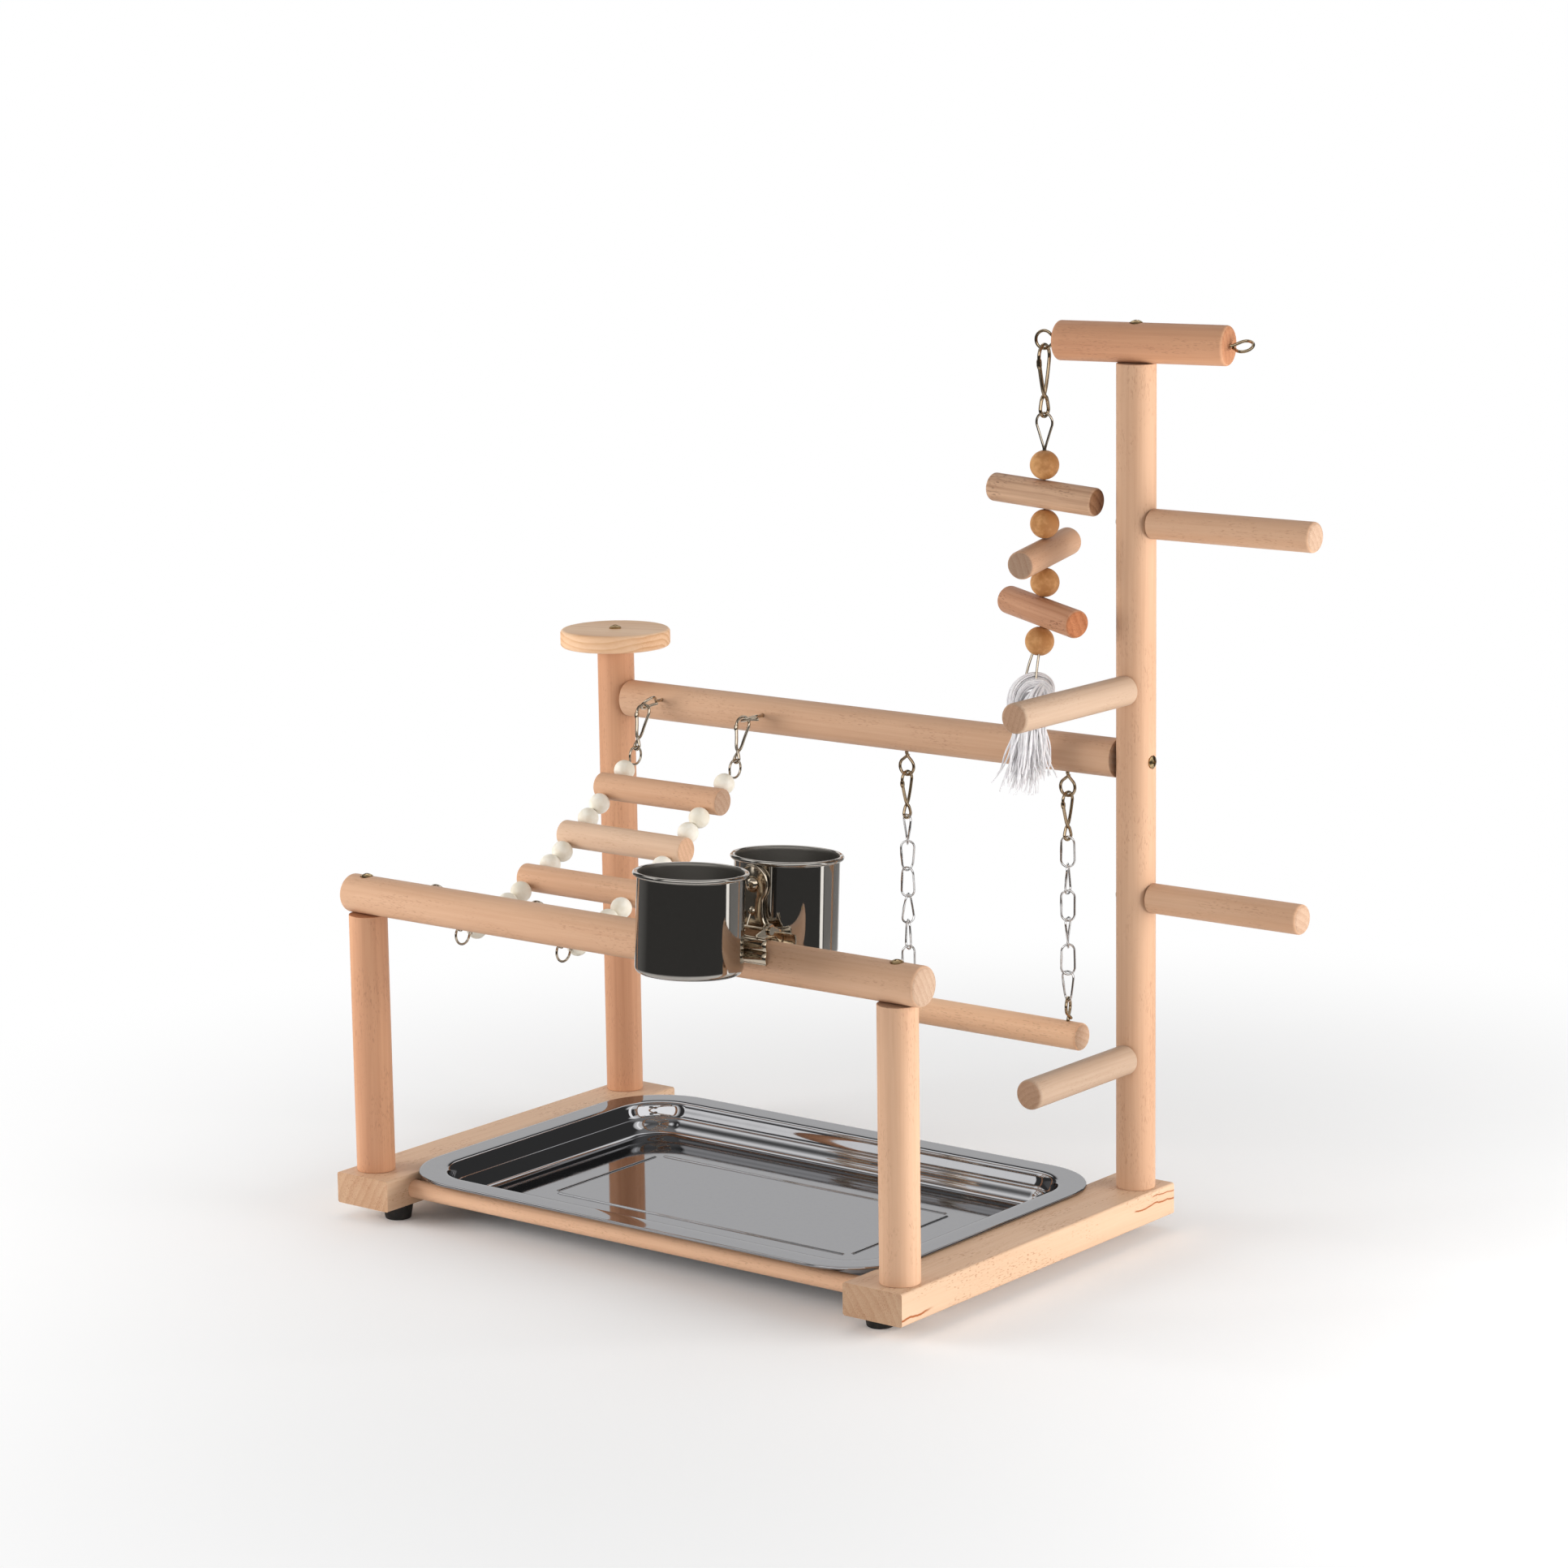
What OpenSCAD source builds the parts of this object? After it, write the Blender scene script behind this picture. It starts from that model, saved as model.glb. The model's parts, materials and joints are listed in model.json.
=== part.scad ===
// Parrot play stand: two base boards, dowel posts and rails, perches and a disc platform,
// with a litter tray, a swing, a bead ladder, a clip with two cups and a hanging toy.
// The stand faces -Y, and Z is up from the floor.

/* [Posts and rails] */
// Distance between the post axes, side to side
post_span_x = 426; // [416:1:440]
// Distance between the post axes, front to back
post_span_y = 252; // [246:1:262]
// Diameter of the posts, the rails and the top perch
dowel_d = 25; // [23:0.5:27]
// Length of the front legs
front_leg_l = 170.5; // [164:0.5:180]
// Length of the back left post
back_left_l = 311.5; // [304:0.5:330]
// Length of the back right post
back_right_l = 525.5; // [515:0.5:550]
// Height of the back rail's axis above the boards
back_rail_h = 276.5; // [270:0.5:284]
// Length of the front rail
front_rail_l = 460; // [452:1:476]
// How far the front rail's middle lies to the right of the stand's middle
front_rail_shift = 3; // [0:0.5:5]
// Diameter of the disc platform
disc_d = 75; // [60:1:90]
// Thickness of the disc platform
disc_t = 12; // [10:0.5:16]

/* [Perches] */
// Diameter of the four perches on the back right post
perch_d = 19; // [16:0.5:22]
// Height of the upper side perch above the boards
upper_side_h = 426.5; // [410:0.5:440]
// Length of the upper side perch
upper_side_l = 117.5; // [110:0.5:125]
// Height of the lower side perch above the boards
lower_side_h = 189.5; // [180:0.5:200]
// Length of the lower side perch
lower_side_l = 110.5; // [100:0.5:116]
// Height of the upper front perch above the boards
upper_front_h = 322.5; // [315:0.5:335]
// Length of the upper front perch
upper_front_l = 120.5; // [110:0.5:130]
// Height of the lower front perch above the boards
lower_front_h = 85.5; // [80:0.5:95]
// Length of the lower front perch
lower_front_l = 106.5; // [100:0.5:115]
// Length of the top perch
top_perch_l = 115; // [105:1:125]
// Turn of the top perch about its screw, in degrees
top_perch_turn = 10; // [0:1:15]
// How far the top perch's middle lies to the right of its screw
top_perch_shift = 4.5; // [0:0.5:6]

/* [Base] */
// Length of a base board, front to back
board_l = 292; // [284:1:310]
// Width of a base board
board_w = 44; // [40:0.5:48]
// Thickness of a base board
board_t = 20.5; // [19:0.5:24]
// Height of a rubber foot
foot_h = 10; // [8:0.5:14]
// Diameter of the two stretchers
stretcher_d = 12; // [10:0.5:13]
// Length of the tray, side to side
tray_l = 392; // [386:1:394]
// Width of the tray, front to back
tray_w = 264; // [250:1:270]
// Depth of the tray
tray_depth = 19; // [17:0.5:20]
// Outer corner radius of the tray
tray_corner = 50; // [44:1:56]
// Thickness of the tray's sheet
tray_sheet = 0.8; // [0.6:0.1:1]

/* [Swing] */
// Distance between the two chains
swing_span = 127; // [110:1:140]
// Place of the swing's middle, right of the stand's middle
swing_x = 97.5; // [60:0.5:100]
// Diameter of the swing bar
swing_bar_d = 18; // [16:0.5:22]
// Length of the swing bar
swing_bar_l = 150; // [146:1:160]
// Length of a chain link
link_l = 21.5; // [19:0.5:23]
// Width of a chain link
link_w = 10.5; // [10:0.25:11.5]
// Thickness of the chain's wire
link_wire = 1.8; // [1.6:0.1:2]

/* [Ladder] */
// Distance between the two side wires
ladder_w = 86; // [76:1:92]
// Place of the ladder's middle, left of the stand's middle
ladder_x = 124; // [115:1:130]
// Diameter of a ladder bead
ladder_bead_d = 14; // [13:0.5:15]
// Diameter of a rung
rung_d = 18; // [16:0.5:19]
// Length of a rung
rung_l = 105; // [100:1:114]

/* [Cups] */
// Outer diameter of a cup's wall
cup_d = 65; // [60:0.5:68]
// Height of a cup
cup_h = 61.5; // [56:0.5:70]
// Thickness of a cup's wall
cup_wall = 0.8; // [0.6:0.1:1.2]
// Place of the clip along the front rail, right of the stand's middle
clip_x = 93; // [85:1:100]
// Lean of the clip towards the back, in degrees
clip_lean = 3.5; // [0:0.5:5]
// Width of the clip's jaws
clip_w = 66; // [62:1:72]

/* [Toy] */
// Diameter of a toy bead
toy_bead_d = 18.5; // [16:0.5:20]
// Diameter of a toy stick
toy_stick_d = 18; // [16:0.5:19]
// Length of a toy stick
toy_stick_l = 80; // [70:1:90]
// Length of the tassel
tassel_l = 84; // [70:1:95]
// Diameter of the tassel's knot
tassel_d = 28; // [26:0.5:30]

/* [Hardware] */
// Inner wire radius of an eye screw, to the middle of its wire
eye_r = 5.6; // [5.2:0.1:6.2]
// Thickness of an eye screw's wire
eye_wire = 2; // [1.8:0.1:2.2]
// Diameter of an eye screw's shank
eye_shank_d = 2.4; // [2.2:0.1:2.6]
// Length of a small snap hook
hook_l = 33; // [31:0.5:35]
// Width of a small snap hook
hook_w = 12.5; // [12:0.25:13.5]
// Thickness of a small snap hook's wire
hook_wire = 2; // [1.8:0.1:2.2]
// Diameter of a wood screw's shank
screw_d = 4; // [3.5:0.1:4.5]
// Length of a wood screw
screw_l = 48; // [44:0.5:54]
// Length of the disc platform's screw
disc_screw_l = 36; // [30:0.5:38]
// Diameter of a wood screw's head
screw_head_d = 8; // [7:0.5:9]

/* [Hidden] */

// Smoothness of round wood and of thin wire
$fn = 64;
wire_fn = 24;

// Clearances and the overrun of cuts
overrun = 1;
hole_play = 0.1;
link_play = 0.3;
run_play = 0.06;
rest_play = 0.3;

// Rounding of a dowel's free end, and of an end that butts on another piece
end_r = 2.5;
butt_r = 0.4;

// Screws
screw_tip = 6;
screw_head_h = 2.4;
screw_crown_h = 1.4;
spot_depth = 0.8;
spot_play = 0.4;
post_screw_d = 4.5;
post_screw_l = 50;
post_screw_head_d = 9;
post_screw_head_h = 3;
foot_screw_d = 3;
foot_screw_l = 14;
foot_screw_head_d = 7;
foot_screw_head_h = 2;
recess_arm_share = 0.6;
recess_width_share = 0.14;
recess_depth_share = 0.6;
tip_share = 0.2;

// Base
board_edge_r = 1.5;
board_inset = 6;
foot_d = 20;
foot_low_d = 17;
foot_recess_d = 9;
foot_recess_h = 5;
foot_inset_x = 16.5;
foot_inset_y = 2;
stretcher_inset = 6;
stretcher_let_in = 8;
tray_shift = -2;
tray_flange = 15.5;
tray_wall_run = 16.5;
tray_wall_shares = [[0, 0], [0.21, 0.06], [0.39, 0.53], [0.52, 0.56], [0.76, 0.89], [1, 1]];
tray_bead_d = 2;
rib_w = 3;
rib_h = 0.8;
rib_x = 121;
rib_y = 54;
rib_corner_gap = 5;

// Eye screws: length in the wood, and the free neck of each kind
eye_depth = 12;
eye_tip = 3;
eye_open = 42;
end_eye_turns = [0, 60];
eye_apex_share = 1.35;
swing_eye_neck = 2.7;
bar_eye_neck = 2.2;
end_eye_neck = 1.9;
ladder_top_reach = 13.5;
ladder_low_reach = 9.2;
ladder_low_drop = 1.2;
ladder_top_tilts = [45, 20];
ladder_low_tilts = [135, 135];
bar_eye_turns = [130, 110];

// Snap hooks: how far the round top goes on past its half circle, and the small lower eye
hook_open = 10;
hook_eye_share = 0.5;
hook_gap_share = 0.5;
ladder_hook_plays = [0.5, 1.3];

// Chains: the turn of each link about the vertical, from the top
left_link_turns = [145, 60, 10, 85, 145, 60];
right_link_turns = [20, 110, 25, 115, 45, -15];

// Ladder
ladder_wire = 1.6;
ladder_loop_r = 6.2;
ladder_hook_lean = 18;
ladder_bends = [1, 10, 4, 12.5];
bead_play = 0.2;
rung_end_r = 1.5;
wire_bend_share = 1.3;
wire_stop_share = 0.2;

// Clip and cups
clip_sheet = 1;
clip_head_r = 11;
clip_head_h = 24.5;
clip_neck_w = 16;
clip_neck_h = 14;
clip_foot_w = 20;
clip_flare_w = 34;
clip_jaw_top = 3;
clip_jaw_h = 15;
clip_jaw_r = 4;
ridge_d = 3;
ridge_start = 13;
ridge_places = [5, 15.5];
ridge_out = 0.3;
pin_h = 6;
pin_d = 3;
pin_head_d = 5;
pin_head_h = 1;
ear_r = 4.5;
ear_root_high = 1;
ear_root_low = 10;
ear_bend = 8;
front_ear_x = 24;
rear_ear_x = 22;
clip_gap = 0.1;
cup_low = 22.5;
cup_bottom_r = 4;
cup_bead_d = 3;
cup_bead_out = 1;
rivet_d = 3;
rivet_head_d = 5;
rivet_head_h = 1;
upper_rivet_h = 24;
upper_dome_d = 10;
upper_dome_h = 4;
lower_rivet_h = 7.5;
lower_dome_d = 5.5;
lower_dome_h = 2;
coil_r = 2.6;
coil_wire = 1.2;
coil_gap = 0.6;
coil_turns = 4;
coil_lean = 25;
coil_leg = 9;

// Toy
toy_hook_l = 47.5;
toy_hook_w = 18;
toy_hook_wire = 2.5;
toy_wire_d = 1.6;
toy_loop_r = 6;
toy_loop_share = 3.6;
toy_lean = 6;
toy_foot_lean = 9;
toy_strand_spread = 4;
toy_strand_start = 1.2;
toy_knot_d = 4.4;
toy_twist_d = 3;
toy_strand_let_in = 5;
toy_knot_gap = 8;
toy_stick_turns = [0, -78, -22];
toy_stick_tilts = [3.6, 4, 4.6];
tassel_profile_shares = [[0, 0], [0.3, 0], [0.72, 0.05], [0.96, 0.13], [1, 0.2], [0.9, 0.28],
    [0.8, 0.34], [0.86, 0.44], [0.93, 0.62], [0.96, 0.8], [0.97, 0.94], [0.9, 1], [0, 1]];

// Places worked out from the sizes above, from the middle of the four posts
post_x = post_span_x / 2;
post_y = post_span_y / 2;
dowel_r = dowel_d / 2;
board_top = foot_h + board_t;
board_x = post_x - board_inset;
stretcher_y = post_y - stretcher_inset;
stretcher_z = foot_h + board_t / 2;
stretcher_end = board_x - board_w / 2 + stretcher_let_in;
front_rail_z = board_top + front_leg_l + dowel_r;
back_rail_z = board_top + back_rail_h;
back_left_top = board_top + back_left_l;
top_perch_z = board_top + back_right_l + dowel_r;
perch_list = [[upper_side_h, 0, upper_side_l], [lower_side_h, 0, lower_side_l],
    [upper_front_h, -90, upper_front_l], [lower_front_h, -90, lower_front_l]];
rail_end = post_x - dowel_r;

// The clip hangs on the front rail: its plates stand just off the rail
plate_y = dowel_r + rest_play;
pin_rise = dowel_r + pin_h;
cup_y = plate_y + clip_sheet + clip_gap + cup_d / 2;
cup_rim_r = cup_d / 2 + cup_bead_out + cup_bead_d / 2;

// The model is moved so that the middle of its outer box lies over the origin
left_reach = post_x + disc_d / 2;
right_reach = post_x + dowel_r + upper_side_l;
front_reach = post_y + (cup_y + cup_d / 2 - cup_bottom_r) * cos(clip_lean) + cup_bottom_r
    + (cup_low - cup_bottom_r - pin_rise) * sin(clip_lean);
back_reach = post_y + disc_d / 2;
shift = [(left_reach - right_reach) / 2, (front_reach - back_reach) / 2, 0];

// From the middle of a wire that a hook hangs on, to the middle of the wire at its foot
function hook_drop(l, wire, play) = l - wire - (wire + eye_wire) / 2 - play;
small_drop = hook_drop(hook_l, hook_wire, link_play);
toy_drop = hook_drop(toy_hook_l, toy_hook_wire, link_play);

// Swing, from the back rail down
swing_eye_z = back_rail_z - dowel_r - swing_eye_neck - eye_apex_share * eye_r;
swing_pivot_z = swing_eye_z - eye_r;
chain_top = swing_pivot_z - small_drop + (hook_wire + link_wire) / 2 + link_play;
link_pitch = link_l - 2 * link_wire - link_play;
link_count = len(left_link_turns);
chain_foot = chain_top - (link_count - 1) * link_pitch - (link_l - link_wire);
bar_eye_z = chain_foot + (link_wire + eye_wire) / 2 + link_play - eye_r;
swing_bar_z = bar_eye_z - eye_apex_share * eye_r - bar_eye_neck - swing_bar_d / 2;

// Ladder: points and stretches are in the plane [y, z]
ladder_top_pivot = [post_y - dowel_r - ladder_top_reach, back_rail_z];
ladder_low_pivot = [dowel_r - post_y + ladder_low_reach, front_rail_z - ladder_low_drop];
ladder_drops = [for (play = ladder_hook_plays) hook_drop(hook_l, hook_wire, play)];
loop_step_down = ladder_loop_r - (hook_wire + ladder_wire) / 2 - link_play;
top_reach = ladder_drops[0] + loop_step_down;
low_reach = ladder_drops[1] + loop_step_down;
loop_step = ladder_loop_r + ladder_bead_d / 2 + 1.25 * ladder_wire / 2;
rung_step = ladder_bead_d + rung_d + 2 * bead_play;
bead_step = ladder_bead_d + bead_play;
ladder_steps = [loop_step, rung_step, bead_step, rung_step, bead_step, rung_step, bead_step,
    rung_step, loop_step];
ladder_turns = [-1, 0, ladder_bends[0] / 2, ladder_bends[0], ladder_bends[0] + ladder_bends[1] / 2,
    ladder_bends[0] + ladder_bends[1], ladder_bends[0] + ladder_bends[1] + ladder_bends[2] / 2,
    ladder_bends[0] + ladder_bends[1] + ladder_bends[2],
    ladder_bends[0] + ladder_bends[1] + ladder_bends[2] + ladder_bends[3]];
ladder_count = len(ladder_steps);
function heading(drop) = [-cos(drop), -sin(drop)];
function ladder_point(i, start, fall) = i == 0 ? start
    : ladder_point(i - 1, start, fall) + ladder_steps[i - 1] * heading(fall - ladder_turns[i - 1]);
ladder_top_loop = ladder_top_pivot - top_reach * [sin(ladder_hook_lean), cos(ladder_hook_lean)];
ladder_chord = ladder_point(ladder_count, [0, 0], 0);
ladder_span = norm(ladder_chord);
// The lower loop lies where the lower hook's circle meets the ladder's
low_gap = norm(ladder_top_loop - ladder_low_pivot);
low_axis = (ladder_top_loop - ladder_low_pivot) / low_gap;
low_along = (low_reach * low_reach - ladder_span * ladder_span + low_gap * low_gap) / (2 * low_gap);
low_off = sqrt(low_reach * low_reach - low_along * low_along);
ladder_low_loop = ladder_low_pivot + low_along * low_axis + low_off * [low_axis.y, -low_axis.x];
ladder_way = ladder_low_loop - ladder_top_loop;
ladder_fall = atan2(-ladder_way.y, -ladder_way.x) - atan2(-ladder_chord.y, -ladder_chord.x);
ladder_points = [for (i = [0:ladder_count]) ladder_point(i, ladder_top_loop, ladder_fall)];
ladder_low_lean = atan2(ladder_low_loop.x - ladder_low_pivot.x, ladder_low_pivot.y - ladder_low_loop.y);

// Toy, from the top perch's left end down; its places are [x, y, z] from the post's axis
end_eye_reach = top_perch_l / 2 + end_eye_neck + eye_apex_share * eye_r;
toy_reach = end_eye_reach - top_perch_shift;
toy_x = post_x - toy_reach * cos(top_perch_turn);
toy_y = post_y - toy_reach * sin(top_perch_turn);
toy_pivot_z = top_perch_z - eye_r;
toy_hook_foot = toy_pivot_z - toy_drop;
toy_loop_top = toy_hook_foot + (toy_hook_wire + toy_wire_d) / 2 + link_play;
toy_pitch = (toy_bead_d + toy_stick_d) / 2 + rest_play;
toy_bead_1_z = toy_loop_top - toy_loop_share * toy_loop_r - (toy_twist_d + toy_bead_d) / 2 - link_play;
toy_bend = [toy_x, toy_y, toy_bead_1_z - 4 * toy_pitch];
toy_low_way = [0, -toy_lean, -sqrt(4 * toy_pitch * toy_pitch - toy_lean * toy_lean)];
toy_low_bead = toy_bend + toy_low_way;
toy_bead_places = [toy_bend + [0, 0, 4 * toy_pitch], toy_bend + [0, 0, 2 * toy_pitch], toy_bend,
    toy_low_bead];
toy_stick_places = [toy_bend + [0, 0, 3 * toy_pitch], toy_bend + [0, 0, toy_pitch],
    toy_bend + toy_low_way / 2];
tassel_y = post_y - dowel_r - rest_play - tassel_d / 2;
tassel_top = [toy_x, tassel_y, toy_low_bead.z - toy_bead_d / 2 - toy_knot_gap];

// Spring: a helix about the pin with a straight leg at each end
coil_step = 45;
coil_first = 180 + coil_lean;
coil_last = 360 * (coil_turns + 1) - coil_lean;
coil_pitch = coil_wire + coil_gap;
coil_parts = ceil((coil_last - coil_first) / coil_step);
function coil_angle(i) = coil_first + (coil_last - coil_first) * i / coil_parts;
function coil_side(a) = [0, cos(a), sin(a)];
function coil_slide(a) = [coil_pitch * ((a - coil_first) / 360 - (coil_last - coil_first) / 720), 0, 0];
function coil_point(a) = coil_slide(a) + coil_r * coil_side(a);
function coil_run(a) = [0, -sin(a), cos(a)];
coil_leg_steps = 3;
coil_path = concat(
    [for (i = [coil_leg_steps:-1:1])
        [coil_point(coil_first) - coil_leg * i / coil_leg_steps * coil_run(coil_first), coil_first]],
    [for (i = [0:coil_parts]) [coil_point(coil_angle(i)), coil_angle(i)]],
    [for (i = [1:coil_leg_steps])
        [coil_point(coil_last) + coil_leg * i / coil_leg_steps * coil_run(coil_last), coil_last]]);
coil_count = len(coil_path);
coil_sides = 6;
coil_body_steps = [for (i = [0:coil_parts]) coil_point(coil_angle(i))];
coil_least = min([for (i = [0:coil_parts - 6]) for (j = [i + 6:coil_parts])
    norm(coil_body_steps[i] - coil_body_steps[j])]) - coil_wire;
echo(spring_least_gap = coil_least);

// Joint places and directions
echo(shift = shift);
echo(swing_pivot = [swing_x, post_y, swing_pivot_z] + shift);
echo(ladder_top_pivot = ladder_top_pivot, ladder_low_pivot = ladder_low_pivot);
echo(ladder_top_loop = ladder_top_loop, ladder_low_loop = ladder_low_loop, ladder_drops = ladder_drops);
echo(ladder_fall = ladder_fall, ladder_low_lean = ladder_low_lean, ladder_points = ladder_points);
echo(clip_pivot = [clip_x, pin_rise * sin(clip_lean) - post_y, front_rail_z + pin_rise * cos(clip_lean)]
    + shift, cup_y = cup_y);
echo(toy_pivot = [toy_x, toy_y, toy_pivot_z] + shift, toy_link = toy_hook_foot);
echo(toy_beads = toy_bead_places, toy_sticks = toy_stick_places, toy_low_way = toy_low_way);
echo(tassel_top = tassel_top, swing_bar_z = swing_bar_z, chain_foot = chain_foot);

// Directions
module to_right() rotate([0, 90, 0]) children();
module to_left() rotate([0, -90, 0]) children();
module to_back() rotate([-90, 0, 0]) children();
module to_front() rotate([90, 0, 0]) children();
module placed() translate(shift) children();

// A round rod standing on z = 0, with its two ends rounded
module dowel(d, l, low_r, high_r) {
    rotate_extrude() {
        translate([0, low_r]) square([d / 2, l - low_r - high_r]);
        square([d / 2 - low_r, l / 2]);
        translate([0, l / 2]) square([d / 2 - high_r, l / 2]);
        translate([d / 2 - low_r, low_r]) circle(r = low_r);
        translate([d / 2 - high_r, l - high_r]) circle(r = high_r);
    }
}

module rounded_rect(w, h, r) {
    square([w - 2 * r, h], center = true);
    square([w, h - 2 * r], center = true);
    for (i = [-1, 1], j = [-1, 1])
        translate([i * (w / 2 - r), j * (h / 2 - r)]) circle(r = r);
}

module rod(a, b, d) {
    way = b - a;
    translate(a)
        rotate([0, acos(way.z / norm(way)), atan2(way.y, way.x)])
            cylinder(d = d, h = norm(way), $fn = wire_fn);
}

// An arc of wire in the XZ plane
module arc(r, wire, from, sweep) {
    to_front()
        rotate([0, 0, from])
            rotate_extrude(angle = sweep) translate([r, 0]) circle(d = wire, $fn = wire_fn);
}

module ring(r, wire) {
    to_front() rotate_extrude() translate([r, 0]) circle(d = wire, $fn = wire_fn);
}

// A round wire top whose two legs run down to a foot
module drop(r, wire, open, foot_x, foot_z) {
    arc(r, wire, -open, 180 + 2 * open);
    for (s = [-1, 1])
        rod([s * r * cos(open), 0, -r * sin(open)], [s * foot_x, 0, foot_z], wire);
}

// Screws point down, with the seat of the head at z = 0
module recess(d, h) {
    for (turn = [0, 90])
        rotate([0, 0, turn])
            translate([0, 0, h - recess_depth_share * h / 2 + overrun / 2])
                cube([recess_arm_share * d, recess_width_share * d, recess_depth_share * h + overrun],
                    center = true);
}

module shank(d, l) {
    translate([0, 0, screw_tip - l]) cylinder(d = d, h = l - screw_tip);
    translate([0, 0, -l]) cylinder(d1 = tip_share * d, d2 = d, h = screw_tip);
}

module wood_screw(l = screw_l) {
    crown_r = (screw_head_d * screw_head_d / 4 + screw_crown_h * screw_crown_h) / (2 * screw_crown_h);
    difference() {
        rotate_extrude() intersection() {
            translate([0, screw_head_h - crown_r]) circle(r = crown_r);
            square([screw_head_d / 2, screw_head_h]);
        }
        recess(screw_head_d, screw_head_h);
    }
    shank(screw_d, l);
}

module wood_screw_cut(l = screw_l) {
    cylinder(d = screw_head_d + 2 * spot_play, h = screw_head_h + overrun);
    translate([0, 0, -l - hole_play])
        cylinder(d = screw_d + 2 * hole_play, h = l + hole_play + overrun);
}

// Flat-headed screws point up, with the head's face at z = 0
module post_screw() {
    difference() {
        cylinder(d1 = post_screw_head_d, d2 = post_screw_d, h = post_screw_head_h);
        mirror([0, 0, 1]) translate([0, 0, -post_screw_head_h]) recess(post_screw_head_d, post_screw_head_h);
    }
    mirror([0, 0, 1]) shank(post_screw_d, post_screw_l);
}

module post_screw_cut() {
    cylinder(d1 = post_screw_head_d + 2 * hole_play, d2 = post_screw_d + 2 * hole_play,
        h = post_screw_head_h);
    translate([0, 0, -overrun])
        cylinder(d = post_screw_d + 2 * hole_play, h = post_screw_l + hole_play + overrun);
}

// Eye screw: ring around the origin in the XZ plane, shank up
module eye_screw(neck) {
    apex = eye_apex_share * eye_r;
    mirror([0, 0, 1]) drop(eye_r, eye_wire, eye_open, 0, -apex);
    translate([0, 0, apex - eye_wire / 2])
        cylinder(d = eye_shank_d, h = eye_wire / 2 + neck + eye_depth - eye_tip);
    translate([0, 0, apex + neck + eye_depth - eye_tip])
        cylinder(d1 = eye_shank_d, d2 = tip_share * eye_shank_d, h = eye_tip);
}

module eye_cut(neck) {
    translate([0, 0, eye_apex_share * eye_r + neck - overrun])
        cylinder(d = eye_shank_d + 2 * hole_play, h = overrun + eye_depth + hole_play);
}

// Snap hook hanging from a wire through the origin, in the XZ plane
module snap_hook(l, w, wire, play) {
    r = (w - wire) / 2;
    low_r = hook_eye_share * r;
    top = (wire + eye_wire) / 2 + play;
    foot = top - (l - wire);
    translate([0, 0, top - r])
        drop(r, wire, hook_open, hook_gap_share * low_r, foot + 2 * low_r - (top - r) - wire / 4);
    translate([0, 0, foot + low_r]) ring(low_r, wire);
}

// Chain link hanging from its top, in the XZ plane
module link() {
    r = (link_w - link_wire) / 2;
    gap = link_l - link_w;
    translate([0, 0, -r]) {
        arc(r, link_wire, 0, 180);
        translate([0, 0, -gap]) arc(r, link_wire, 180, 180);
        for (s = [-1, 1])
            translate([s * r, 0, -gap]) cylinder(d = link_wire, h = gap, $fn = wire_fn);
    }
}

// Base
module at_corners() {
    for (i = [-1, 1], j = [-1, 1]) translate([i * post_x, j * post_y, 0]) children();
}

module at_feet() {
    for (i = [-1, 1], j = [-1, 1])
        translate([i * (post_x - foot_inset_x), j * (post_y - foot_inset_y), 0]) children();
}

module stretcher(y, play) {
    translate([-stretcher_end - play, y, stretcher_z])
        to_right() dowel(stretcher_d + 2 * play, 2 * (stretcher_end + play), butt_r, butt_r);
}

module base_board(side) {
    color("burlywood") placed() difference() {
        translate([side * board_x, 0, foot_h + board_t / 2])
            to_front() linear_extrude(board_l, center = true) rounded_rect(board_w, board_t, board_edge_r);
        for (y = [-stretcher_y, stretcher_y]) stretcher(y, hole_play);
        at_corners() translate([0, 0, foot_h]) post_screw_cut();
        at_feet() translate([0, 0, foot_h - overrun])
            cylinder(d = foot_screw_d + 2 * hole_play,
                h = overrun + foot_screw_l - (foot_h - foot_recess_h) + hole_play);
    }
}

module left_base_board() base_board(-1);
module right_base_board() base_board(1);

module front_stretcher() color("burlywood") placed() stretcher(-stretcher_y, 0);
module rear_stretcher() color("burlywood") placed() stretcher(stretcher_y, 0);

module rubber_feet() {
    color([0.1, 0.1, 0.1]) placed() at_feet() difference() {
        cylinder(d1 = foot_low_d, d2 = foot_d, h = foot_h);
        translate([0, 0, -overrun]) cylinder(d = foot_recess_d, h = foot_recess_h + overrun);
        translate([0, 0, -overrun]) cylinder(d = foot_screw_d + 2 * hole_play, h = foot_h + 2 * overrun);
    }
}

module foot_screws() {
    color("silver") placed() at_feet() translate([0, 0, foot_recess_h]) {
        mirror([0, 0, 1]) shank(foot_screw_d, foot_screw_l);
        translate([0, 0, -foot_screw_head_h]) difference() {
            cylinder(d = foot_screw_head_d, h = foot_screw_head_h);
            mirror([0, 0, 1]) translate([0, 0, -foot_screw_head_h])
                recess(foot_screw_head_d, foot_screw_head_h);
        }
    }
}

module post_screws() {
    color("silver") placed() at_corners() translate([0, 0, foot_h]) post_screw();
}

// Posts
module at_post(side, depth) translate([side * post_x, depth * post_y, 0]) children();

module front_rail_seats() {
    for (i = [-1, 1])
        translate([i * post_x, -post_y, front_rail_z + dowel_r - spot_depth]) children();
}

// Side screws lie along a heading, with the head behind the post
module side_seat(h, turn) {
    translate([0, 0, h]) rotate([0, 0, turn]) to_left() translate([0, 0, dowel_r - spot_depth]) children();
}

module post(l, high_r) {
    translate([0, 0, board_top]) dowel(dowel_d, l, butt_r, high_r);
}

module post_foot_cut() translate([0, 0, foot_h]) post_screw_cut();

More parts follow.
